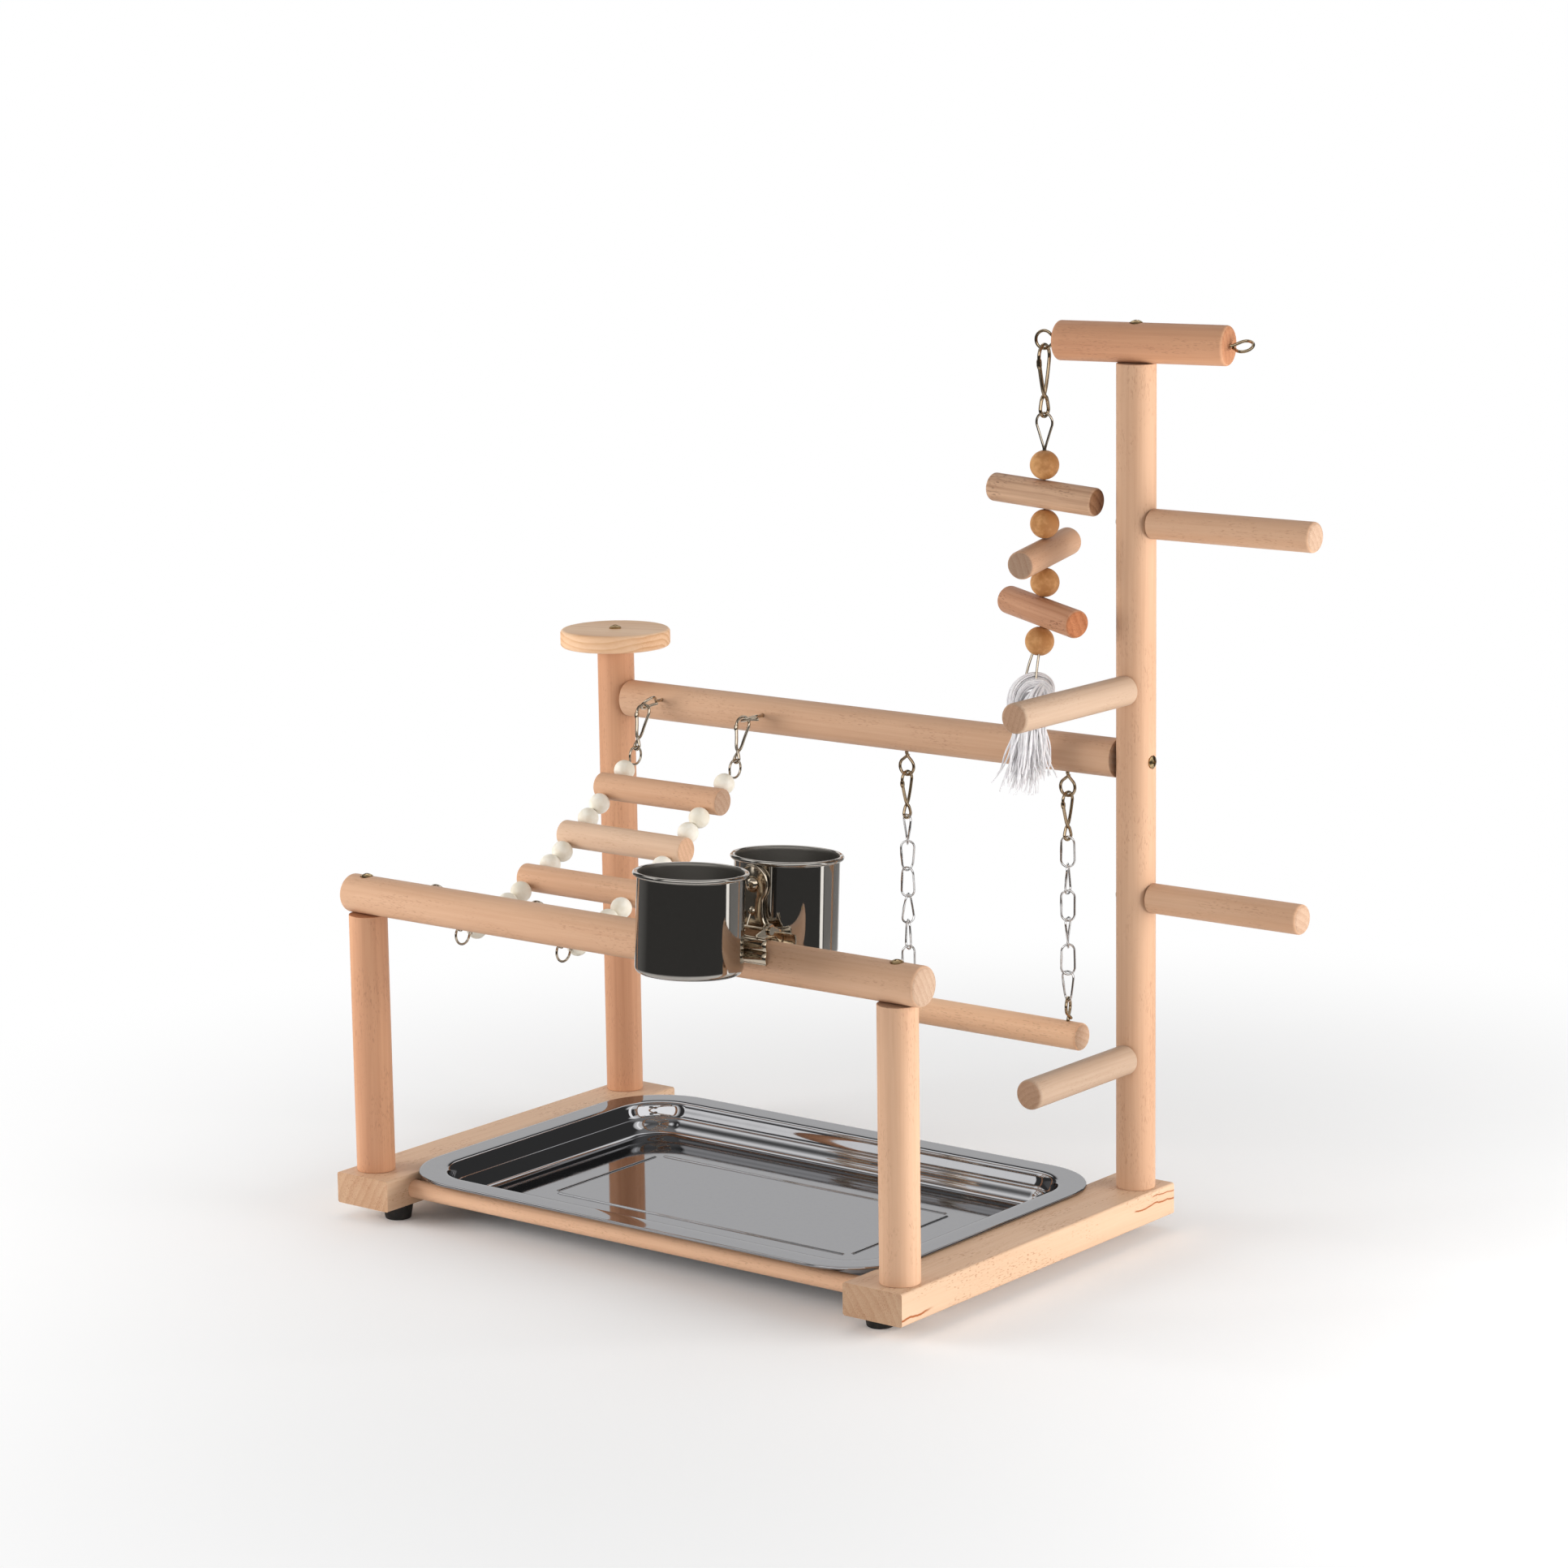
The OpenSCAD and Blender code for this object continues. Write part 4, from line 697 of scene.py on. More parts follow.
# Eye screws
eyeSizes = {"ring": 5.6, "apex": 7.56, "open": 42.0, "depth": 12.0, "tip": 3.0, "cadWire": 2.0, "wire": 1.0,
            "shank": 1.2, "threadPitch": 1.15, "threadRadius": 0.22, "threadSteps": 10, "ringSteps": 26}


def eyeRuns(s, matrix, neck):  # the ring lies round the origin in the XZ plane, with the shank up
    apex = s["apex"]
    top = apex + neck + s["depth"]
    shank = [(0, 0, top), (0, 0, top - s["tip"]), (0, 0, apex + neck), (0, 0, apex + 0.9)]
    circle = []
    for i in range(s["ringSteps"] + 1):
        share = i / s["ringSteps"]
        x, z = onCircle(s["ring"], s["open"] + (-180 - 2 * s["open"]) * share)
        circle.append((x, 0.5 * max(0.0, share - 0.6), z))
    tail = [(-1.9, 1.0, apex - 1.9), (-0.35, 1.75, apex - 0.55), (0.25, 2.0, apex + 0.35)]
    line = softened(shank[2:] + [(0.45, 0, apex - 0.3)] + circle + tail, 1)
    thick = [0.3, 1.2] + [1.2 if p.z > apex + 0.8 and i < 4 else 1.0 for i, p in enumerate(line)]
    runs = [placedRun(matrix, shank[:2] + line, False, thick)]
    turns = (s["depth"] - s["tip"] / 2) / s["threadPitch"]
    helix = []
    for i in range(int(turns * s["threadSteps"]) + 1):
        height = apex + neck + 0.6 + i / s["threadSteps"] * s["threadPitch"]
        taper = 1.0 if height < top - s["tip"] else max(0.3, (top - height) / s["tip"])
        helix.append((*onCircle(s["shank"] * taper, 360 * i / s["threadSteps"]), height))
    runs.append(placedRun(matrix, helix, False, s["threadRadius"]))
    return runs


def eyeScrews(nodeName, body, metal, places):  # each place is a matrix and the length of the neck
    runs = [run for matrix, neck in places for run in eyeRuns(eyeSizes, matrix, neck)]
    finished(wirePiece(nodeName + "_wire", runs, eyeSizes["wire"], metal), body, "nickel", nodeName)


perchSizes = {"turn": 10.0, "shift": 4.5, "length": 115.0, "neck": 1.9, "toyEyeTurn": 0.0,
              "spareEyeTurn": 60.0}


def perchEye(s, side, turn):  # side is -1 for the left end and 1 for the right one
    reach = s["length"] / 2 + s["neck"] + eyeSizes["apex"]
    return (standFrame @ moved(postX, postY, topPerchZ) @ turned(0, 0, s["turn"])
            @ moved(side * reach + s["shift"], 0, 0) @ turned(0, -side * 90, 0) @ turned(0, 0, turn))


toyEye = perchEye(perchSizes, -1, perchSizes["toyEyeTurn"])
spareEye = perchEye(perchSizes, 1, perchSizes["spareEyeTurn"])
eyeScrews("toy_eye_screw", "stand", agedNickel, [(toyEye, perchSizes["neck"])])
eyeScrews("spare_eye_screw", "stand", agedNickel, [(spareEye, perchSizes["neck"])])
print("feet and perch eyes made")

# Snap hooks
hookSizes = {"small": {"length": 33.0, "width": 12.5, "cadWire": 2.0, "wire": 1.0, "gateThick": 1.1},
             "large": {"length": 47.5, "width": 18.0, "cadWire": 2.5, "wire": 1.15, "gateThick": 1.15}}
gatePoints = 11  # at the end of a hook's softened line


def hookRuns(s, matrix, play):  # hangs from a wire through the origin, in the XZ plane, with the gate at -X
    wire = s["cadWire"]
    r = (s["width"] - wire) / 2
    top = (wire + eyeSizes["cadWire"]) / 2 + play
    foot = top - (s["length"] - wire)
    low, middle = 0.5 * r, top - r
    neck = foot + 3.1 * low
    shoulder = middle - 0.5 * (middle - neck)
    cross = 0.55 * wire
    bow = [(x, 0, z) for x, z in arcPoints((0, middle), r, 205, -8, 22)]  # the wide bend at the top
    bow += [(0.62 * r, 0, shoulder), (0.3 * r, cross / 2, neck + 1.6), (-0.1 * r, cross, neck - 0.2)]
    eye = [(x, cross * (1 - 2 * i / 10) * 0.8, z)  # the small loop at the foot, where the wire passes itself
           for i, (x, z) in enumerate(arcPoints((0, foot + low), low, 165, 375, 10))]
    gate = [(0.1 * r, -cross, neck - 0.2), (-0.3 * r, -cross / 2, neck + 1.6), (-0.62 * r, 0, shoulder),
            (-0.97 * r, 0, middle - 0.42 * r)]
    line = softened(bow + eye + gate)
    thick = [1.0] * (len(line) - gatePoints) + [s["gateThick"]] * gatePoints
    catch = [(-0.985 * r, 0, middle - 0.12 * r), (-0.975 * r, 0, middle - 0.3 * r),  # where gate and bow meet
             (-0.95 * r, 0, middle - 0.62 * r), (-0.9 * r, 0, middle - 0.85 * r)]
    return [placedRun(matrix, line, False, thick), placedRun(matrix, catch, False, [1.25, 1.5, 1.5, 1.2])]


def hookDrop(size, play):  # from the middle of the wire that a hook hangs on to that of the wire at its foot
    s = hookSizes[size]
    return s["length"] - s["cadWire"] - (s["cadWire"] + eyeSizes["cadWire"]) / 2 - play


def snapHooks(nodeName, body, size, metal, play, places):
    runs = [run for matrix in places for run in hookRuns(hookSizes[size], matrix, play)]
    finished(wirePiece(nodeName + "_wire", runs, hookSizes[size]["wire"], metal), body, "nickel", nodeName)


# Swing, from the back rail down
swingSizes = {"x": 97.5, "span": 127.0, "topNeck": 2.7, "barNeck": 2.2, "barEyeTurns": (130.0, 110.0)}
chainSizes = {"length": 21.5, "width": 10.5, "cadWire": 1.8, "wire": 0.72, "seam": 0.22,
              "turns": {"left_swing_chain": [(165, 125), (35, 85), (-5, 25), (115, 55), (138, 152), (62, 58)],
                        "right_swing_chain": [(10, 30), (122, 98), (30, 20), (98, 132), (60, 30), (5, -35)]}}


def chain(s, nodeName, x, top, pitch):  # each link is twisted from its top to its foot, as a bent link is
    r = (s["width"] - s["cadWire"]) / 2
    straight = s["length"] - s["width"]
    reach = s["length"] - s["cadWire"]
    outline = arcPoints((0, -r), r, 0, 180, 12) + [(-r, -r - straight * k / 6) for k in range(1, 6)]
    outline += arcPoints((0, -r - straight), r, 180, 360, 12)
    outline += [(r, -r - straight * k / 6) for k in range(5, 0, -1)]
    seam = [1.0 + s["seam"] * math.exp(-((i - 14.5) / 1.2) ** 2) for i in range(len(outline))]
    runs = []
    for k, (topTurn, footTurn) in enumerate(s["turns"][nodeName]):
        place = standFrame @ moved(x, postY, top - k * pitch)
        line = [turned(0, 0, topTurn + (footTurn - topTurn) * -z / reach) @ Vector((px, 0, z))
                for px, z in outline]
        runs.append(placedRun(place, line, True, seam))
    finished(wirePiece(nodeName + "_links", runs, s["wire"], chrome), "swing", "nickel", nodeName)


def swing(s, c):
    xs = [s["x"] + side * s["span"] / 2 for side in (-1, 1)]
    eyeZ = backRailZ - postRadius - s["topNeck"] - eyeSizes["apex"]
    pivotZ = eyeZ - eyeSizes["ring"]
    chainTop = (pivotZ - hookDrop("small", linkPlay) + linkPlay
                + (hookSizes["small"]["cadWire"] + c["cadWire"]) / 2)
    pitch = c["length"] - 2 * c["cadWire"] - linkPlay
    links = len(c["turns"]["left_swing_chain"])
    chainFoot = chainTop - (links - 1) * pitch - (c["length"] - c["cadWire"])
    barEyeZ = chainFoot + (c["cadWire"] + eyeSizes["cadWire"]) / 2 + linkPlay - eyeSizes["ring"]
    topEyes = [(standFrame @ moved(x, postY, eyeZ), s["topNeck"]) for x in xs]
    barEyes = [(standFrame @ moved(x, postY, barEyeZ) @ turned(0, 0, turn) @ turned(180, 0, 0), s["barNeck"])
               for x, turn in zip(xs, s["barEyeTurns"])]
    hooks = [standFrame @ moved(x, postY, pivotZ) @ turned(0, 0, 90) for x in xs]
    eyeScrews("swing_upper_eyes", "stand", agedNickel, topEyes)
    eyeScrews("swing_bar_eyes", "swing", agedNickel, barEyes)
    snapHooks("swing_hooks", "swing", "small", agedNickel, linkPlay, hooks)
    for nodeName, x in zip(c["turns"], xs):
        chain(c, nodeName, x, chainTop, pitch)


swing(swingSizes, chainSizes)
print("swing made")

# Ladder, whose places are (Y, Z)
ladderSizes = {"x": -124.0, "width": 86.0, "topReach": 13.5, "lowReach": 9.2, "lowDrop": 1.2,
               "topTilts": (45.0, 20.0), "lowTilts": (135.0, 135.0), "hookLean": 18.0, "topPlay": 0.5,
               "lowPlay": 1.3, "wire": 0.8, "cadWire": 1.6, "loop": 6.2, "bead": 14.0, "bore": 1.15,
               "rung": 18.0, "beadPlay": 0.2, "fall": 34.651,  # degrees at the first rung
               "bends": (-1.0, 0.0, 0.5, 1.0, 6.0, 11.0, 13.0, 15.0, 27.5)}  # less fall at each stretch
ladderXs = [ladderSizes["x"] + side * ladderSizes["width"] / 2 for side in (-1, 1)]
ladderTop = Vector((postY - postRadius - ladderSizes["topReach"], backRailZ))
ladderLow = Vector((postRadius - postY + ladderSizes["lowReach"], frontRailZ - ladderSizes["lowDrop"]))


def ladderRoute(s):  # the side wires from the upper loop over the beads to the lower loop
    loopStep = s["loop"] + s["bead"] / 2 + 1.25 * s["cadWire"] / 2
    rungStep = s["bead"] + s["rung"] + 2 * s["beadPlay"]
    beadStep = s["bead"] + s["beadPlay"]
    steps = [loopStep] + [rungStep, beadStep] * 3 + [rungStep, loopStep]
    drop = (hookDrop("small", s["topPlay"]) + s["loop"] - linkPlay
            - (hookSizes["small"]["cadWire"] + s["cadWire"]) / 2)
    points = [ladderTop + Vector(onCircle(drop, -90 - s["hookLean"]))]
    for step, bend in zip(steps, s["bends"]):
        points.append(points[-1] + Vector(onCircle(step, 180 + s["fall"] - bend)))
    return points


ladderPoints = ladderRoute(ladderSizes)
lowHookWay = ladderPoints[-1] - ladderLow
lowHookLean = math.degrees(math.atan2(lowHookWay.x, -lowHookWay.y))


def ladderEyes(nodeName, place, reach, tilts, flip):
    matrices = [standFrame @ moved(x, *place) @ turned(0, -tilt, 0) @ moved(eyeSizes["ring"], 0, 0)
                @ turned(flip, 0, 0) for x, tilt in zip(ladderXs, tilts)]
    eyeScrews(nodeName, "stand", nickel, [(matrix, reach - eyeSizes["apex"]) for matrix in matrices])


def ladderHooks(nodeName, body, place, lean, play):
    places = [standFrame @ moved(x, *place) @ turned(lean, 0, 0) for x in ladderXs]
    snapHooks(nodeName, body, "small", nickel, play, places)


def ladderWires(s):
    runs = []
    for x in ladderXs:
        points = [Vector((x, *p)) for p in ladderPoints]
        necks = []
        for loopAt, inward in ((0, 1), (-1, -2)):
            centre = points[loopAt]
            way = (points[inward] - centre).normalized()
            side = toRight.cross(way)
            loop = []
            for i in range(27):
                ahead, aside = onCircle(1.0, 20 + 320 * i / 26)
                slide = 0.55 * (i / 13 - 1)
                loop.append(centre + s["loop"] * (way * ahead + side * aside) + toRight * slide)
            neck = centre + way * (s["loop"] + 1.6)
            left, right = neck - toRight * 0.5, neck + toRight * 0.5
            loop = [left + way * 2.0, left] + loop + [right, right + way * 2.0]
            runs.append(placedRun(standFrame, softened(loop, 1)))
            necks.append(neck)
        runs.append(placedRun(standFrame, softened([necks[0]] + points[1:-1] + [necks[1]], 1)))
    finished(wirePiece("ladder_wires_bent", runs, s["wire"], nickel), "ladder", "nickel", "ladder_wires")


def beadShape(diameter, bore, soft):  # a ball with a bore along Z and soft edges where the bore comes out
    radius = diameter / 2
    edge = math.degrees(math.acos((bore + soft) / radius))
    outer = arcPoints((0, 0), radius, -edge, edge, 30)
    lipTop = outer[-1][1] - 0.02
    lip = []
    for angle in (25, 50, 75, 90):
        across, down = onCircle(soft, angle)
        lip.append((bore + soft - down, lipTop - (soft - across) * 0.5))
    profile = outer + lip + [(r, -z) for r, z in reversed(lip)]
    return newPiece("beadShape", *spun(profile, 40, True))


def along(way, place):  # the local Z axis laid along a direction
    return Matrix.Translation(place) @ toTop.rotation_difference(way).to_matrix().to_4x4()


def ladderBeads(s, x, nodeName):
    points = [Vector((x, *p)) for p in ladderPoints]
    places = [along((after - before).normalized(), standFrame @ point)
              for before, point, after in zip(points, points[1:], points[2:])]
    shape = beadShape(s["bead"], s["bore"], 0.7)
    finished(repeatPiece(nodeName + "_turned", shape, places, ivoryBead), "ladder", "ivory_beads", nodeName)


def ladder(s):
    ladderEyes("ladder_upper_eyes", ladderTop, s["topReach"], s["topTilts"], -90)
    ladderEyes("ladder_lower_eyes", ladderLow, s["lowReach"], s["lowTilts"], 90)
    ladderHooks("ladder_upper_hooks", "ladder_top_hooks", ladderTop, -s["hookLean"], s["topPlay"])
    ladderHooks("ladder_lower_hooks", "ladder_low_hooks", ladderLow, lowHookLean, s["lowPlay"])
    ladderWires(s)
    for x, nodeName in zip(ladderXs, ("left_ladder_beads", "right_ladder_beads")):
        ladderBeads(s, x, nodeName)


ladder(ladderSizes)
print("ladder made")

# Litter tray
traySizes = {"length": 392.0, "width": 264.0, "corner": 50.0, "top": 32.3, "shiftY": -2.0, "sheet": 0.8,
             "wall": [(2.4, 0.0), (15.2, 0.0), (18.97, -1.14), (21.7, -9.6), (24.3, -10.7), (27.9, -16.7),
                      (31.6, -19.0), (35.5, -19.0)],
             "floorInset": 38.0, "depth": 19.0, "ribX": 121.0, "ribY": 54.0, "ribGap": 5.0, "ribWidth": 3.0,
             "ribHeight": 0.8, "cornerSteps": 14}


def litterTray(s):  # rings of points, each an inset from the edge and a height, over the top and back below
    sheet, steps = s["sheet"], s["cornerSteps"]
    upper = []
    for angle in range(-110, 66, 15):
        across, up = onCircle(1.0, angle)
        upper.append((1 - across, up - sheet))
    upper += [tuple(p) for p in softened([(1.75, 0.02)] + s["wall"], 3)] + [(s["floorInset"], -s["depth"])]
    lower = [(inset - (sheet if inset > 4 else 0.0), height - sheet)
             for inset, height in upper if inset > 2.2]
    rings = upper + lower[::-1]
    points, count = [], 4 * (steps + 1)
    for inset, height in rings:
        for sideX, sideY, start in ((1, 1, 0), (-1, 1, 90), (-1, -1, 180), (1, -1, 270)):
            centre = (sideX * (s["length"] / 2 - s["corner"]), sideY * (s["width"] / 2 - s["corner"]))
            corner = arcPoints(centre, s["corner"] - inset, start, start + 90, steps)
            points += [(x, y, height) for x, y in corner]
    faces = []
    for k in range(len(rings)):
        if k != len(upper) - 1:
            faces += bandFaces(k * count, (k + 1) % len(rings) * count, count)
    faces.append(tuple((len(upper) - 1) * count + i for i in range(count)))
    faces.append(tuple(len(upper) * count + i for i in reversed(range(count))))
    place = standFrame @ moved(0, s["shiftY"], s["top"])
    piece = newPiece("tray_shell", [place @ Vector(p) for p in points], faces, traySteel)
    finished(piece, "tray", "tray_steel", "litter_tray")


def ribShape(length, width, height):  # a low round-backed bar with its foot in the sheet
    steps, points, faces = 16, [], []
    layers = [(1.0, -0.4), (1.0, 0.0)]
    layers += [(1 - k / 7, height * math.sin(math.pi / 2 * k / 6.4) ** 2) for k in range(1, 7)]
    for share, z in layers:
        for side, start in ((1, -90), (-1, 90)):
            end = arcPoints((side * length / 2, 0), width / 2 * share, start, start + 180, steps)
            points += [(x, y, z) for x, y in end]
    count = 2 * (steps + 1)
    for k in range(len(layers) - 1):
        faces += bandFaces(k * count, (k + 1) * count, count)
    faces.append(tuple((len(layers) - 1) * count + i for i in range(count)))
    faces.append(tuple(reversed(range(count))))
    return newPiece("ribShape", points, faces)


def trayRibs(s):
    floor = standFrame @ moved(0, s["shiftY"], s["top"] - s["depth"])
    longPlaces = [floor @ moved(0, side * s["ribY"], 0) for side in (-1, 1)]
    shortPlaces = [floor @ moved(side * s["ribX"], 0, 0) @ turned(0, 0, 90) for side in (-1, 1)]
    for name, half, places in (("tray_long_ribs", s["ribX"], longPlaces),
                               ("tray_short_ribs", s["ribY"], shortPlaces)):
        shape = ribShape(2 * (half - s["ribGap"]), s["ribWidth"], s["ribHeight"])
        finished(repeatPiece(name, shape, places, traySteel), "tray", "tray_steel")


litterTray(traySizes)
trayRibs(traySizes)
print("tray made")

# Clip, drawn about its pin
clipSizes = {"x": 93.0, "lean": 3.5, "pinRise": 6.0, "plateY": 12.8, "sheet": 1.0, "headZ": 24.5,
             "headR": 11.0, "jawHalf": 33.0, "jawTop": -3.0, "jawFoot": -18.0, "ridgeDepth": 1.9,
             "ridgeFrom": 9.5, "ridgeRise": 4.0, "ridgeFall": 2.2, "ridgePast": 0.7, "rimRadius": 0.95,
             "frontEar": 24.0, "rearEar": 22.0, "earRadius": 4.5, "pinHole": 1.6}
clipPlace = (standFrame @ moved(clipSizes["x"], -postY, frontRailZ) @ turned(-clipSizes["lean"])
             @ moved(0, 0, postRadius + clipSizes["pinRise"]))


def halfOutline(s):  # the right half of a plate, from the top of its head down to the jaw
    head = arcPoints((0, s["headZ"]), s["headR"], 90, -42, 16)
    return head + [(7.5, 15.2), (7.3, 12.0), (7.7, 7.0), (8.6, 2.6), (11.0, -1.0), (15.0, -2.7), (20.0, -3.0),
                   (30.5, -3.0)]


def filledPlate(name, outlines, thickness, edge=0.15):  # flat outlines in XY, with softly rounded edges
    data = bpy.data.curves.new(name, "CURVE")
    data.dimensions = "2D"
    data.fill_mode = "BOTH"
    data.extrude = thickness / 2 - edge
    data.bevel_depth = edge
    data.bevel_resolution = 1
    data.offset = -edge
    for outline in outlines:
        spline = data.splines.new("POLY")
        spline.points.add(len(outline) - 1)
        for point, place in zip(spline.points, outline):
            point.co = (place[0], place[1], 0.0, 1.0)
        spline.use_cyclic_u = True
    holder = linked(name, data)
    graph = bpy.context.evaluated_depsgraph_get()
    mesh = bpy.data.meshes.new_from_object(holder.evaluated_get(graph))
    bpy.data.objects.remove(holder)
    points = [v.co.copy() for v in mesh.vertices]
    faces = [tuple(f.vertices) for f in mesh.polygons]
    bpy.data.meshes.remove(mesh)
    return points, faces


def jawSheet(s):  # the jaw's sheet with two pressed ridges, in X across, Y out of the face and Z up
    columns, rows = 44, 26
    points, faces = [], []
    for layer in (0.0, -s["sheet"]):
        for i in range(columns + 1):
            x = s["jawHalf"] * (2 * i / columns - 1)
            grow = min(1.0, max(0.0, (abs(x) - s["ridgeFrom"]) / s["ridgeRise"]))
            fade = min(1.0, (s["jawHalf"] + s["ridgePast"] - abs(x)) / s["ridgeFall"])
            depth = s["ridgeDepth"] * grow * grow * (3 - 2 * grow) * math.sqrt(max(0.0, fade))
            for j in range(rows + 1):
                z = s["jawTop"] + (s["jawFoot"] - s["jawTop"]) * j / rows
                bulge = abs(math.sin(2 * math.pi * j / rows)) ** 0.8
                points.append((x, s["sheet"] + layer + depth * bulge, z))

    def at(layer, i, j):  # the number of a point
        return (layer * (columns + 1) + i) * (rows + 1) + j

    for i in range(columns):
        for j in range(rows):
            faces.append((at(0, i, j), at(0, i, j + 1), at(0, i + 1, j + 1), at(0, i + 1, j)))
            faces.append((at(1, i, j), at(1, i + 1, j), at(1, i + 1, j + 1), at(1, i, j + 1)))
        for j, flip in ((0, 1), (rows, 0)):
            face = (at(0, i, j), at(0, i + 1, j), at(1, i + 1, j), at(1, i, j))
            faces.append(face if flip else face[::-1])
    for j in range(rows):
        for i, flip in ((0, 0), (columns, 1)):
            face = (at(0, i, j), at(0, i, j + 1), at(1, i, j + 1), at(1, i, j))
            faces.append(face[::-1] if flip else face)
    return points, faces


def tidyNormals(piece):  # merges doubled points, points every shell outwards and keeps sharp edges sharp
    shape = bmesh.new()
    shape.from_mesh(piece.data)
    bmesh.ops.remove_doubles(shape, verts=shape.verts, dist=0.000002)
    bmesh.ops.recalc_face_normals(shape, faces=shape.faces)
    shape.to_mesh(piece.data)
    shape.free()
    piece.data.set_sharp_from_angle(angle=math.radians(50))


def clipHalf(s, side, earX, body, nodeName):  # side is 1 for the rear half and -1 for the front one
    place = clipPlace @ Matrix.Diagonal((1, side, 1, 1))
    points, faces = [], []

    def add(morePoints, moreFaces, matrix):
        first = len(points)
        points.extend(matrix @ Vector(p) for p in morePoints)
        faces.extend(tuple(first + v for v in face) for face in moreFaces)

    half = halfOutline(s)
    leftHalf = [(-x, z) for x, z in reversed(half[1:])]
    upright = place @ moved(0, s["plateY"] + s["sheet"] / 2, 0) @ turned(90, 0, 0)
    add(*filledPlate("plate", [half + [(30.5, -4.2), (-30.5, -4.2)] + leftHalf], s["sheet"]), upright)
    add(*jawSheet(s), place @ moved(0, s["plateY"], 0))
    ear = arcPoints((0, 0), s["earRadius"], 90, 270, 14)
    ear += [(8.0, -s["earRadius"]), (13.4, -10.0), (13.4, -1.0), (9.0, 0.6)]
    hole = arcPoints((0, 0), s["pinHole"], 0, 345, 23)
    for i in (-1, 1):
        earPlace = place @ moved(i * earX, 0, 0) @ turned(90, 0, 90)
        add(*filledPlate("ear", [ear, hole], s["sheet"]), earPlace)
    headRim = [(x, s["plateY"] - 0.1, z) for x, z in leftHalf + half]
    jawRim = [(x, s["plateY"] + 0.6, s["jawFoot"] + 0.4) for x in (-32.6, -20, -6, 6, 20, 32.6)]
    runs = [placedRun(place, softened(rim, 1)) for rim in (headRim, jawRim)]
    rims = wirePiece("rims", runs, s["rimRadius"], nickel, 10)
    add([v.co for v in rims.data.vertices], [tuple(f.vertices) for f in rims.data.polygons], Matrix())
    bpy.data.objects.remove(rims)
    piece = newPiece(nodeName + "_pressed", points, faces, nickel)
    tidyNormals(piece)
    finished(piece, body, "nickel", nodeName)


springSizes = {"coil": 2.6, "wire": 0.6, "pitch": 1.8, "first": 205.0, "last": 1775.0, "leg": 9.0,
               "steps": 96}


def clipSpring(s):  # a helix about the pin with a straight leg at each end
    first, last = s["first"], s["last"]

    def coilPoint(angle):
        slide = s["pitch"] * ((angle - first) / 360 - (last - first) / 720)
        return Vector((slide, *onCircle(s["coil"], angle)))

    def run(angle):
        return Vector((0, *onCircle(1.0, angle + 90)))

    line = [coilPoint(first) - run(first) * s["leg"] * k / 3 for k in (3, 2, 1)]
    line += [coilPoint(first + (last - first) * i / s["steps"]) for i in range(s["steps"] + 1)]
    line += [coilPoint(last) + run(last) * s["leg"] * k / 3 for k in (1, 2, 3)]
    piece = wirePiece("clip_spring_coil", [placedRun(clipPlace, line)], s["wire"], nickel)
    finished(piece, "clip", "nickel", "clip_spring")


clipHalf(clipSizes, -1, clipSizes["frontEar"], "front_holder", "front_clip_half")
clipHalf(clipSizes, 1, clipSizes["rearEar"], "rear_holder", "rear_clip_half")
clipSpring(springSizes)
print("clip made")

# Cups
cupSizes = {"radius": 32.5, "height": 61.5, "wall": 0.8, "corner": 4.0, "bead": 1.5, "beadOut": 1.0,
            "low": 22.5, "fromPin": 46.4, "dish": 1.0}
# painted shade and reflection inside each cup: its colour, roughness, how much less metal, and the width of
# its edge
paintedCupInside = {"color": (126, 122, 116), "rough": 0.42, "lessMetal": 0.12, "edge": 0.003}


def cupMaterial(name, centre, s):  # a darker grey with less metal and more roughness inside, painted as the shade and reflections in the cup, where the surface faces the cup's own centre
    material = cupSteel.copy()
    material.name = name
    tree = material.node_tree
    shader = tree.nodes["Principled BSDF"]
    coordinates = tree.nodes.new("ShaderNodeTexCoord").outputs
    outward = vectorCalc(tree, "SUBTRACT", coordinates["Object"], tuple(centre))
    facing = vectorCalc(tree, "DOT_PRODUCT", outward, coordinates["Normal"])
    # the mask of the painted darker inside, which stands for shade and reflection
    paintedInside = ease(tree, facing, -s["edge"], s["edge"], 1.0, 0.0)
    color = shader.inputs["Base Color"].links[0].from_socket
    plug(tree, mixColors(tree, paintedInside, color, paint(*s["color"])), shader.inputs["Base Color"])
    rough = shader.inputs["Roughness"].links[0].from_socket
    plug(tree, highest(tree, rough, product(tree, paintedInside, s["rough"])), shader.inputs["Roughness"])
    plug(tree, less(tree, 1.0, product(tree, paintedInside, s["lessMetal"])), shader.inputs["Metallic"])
    return material


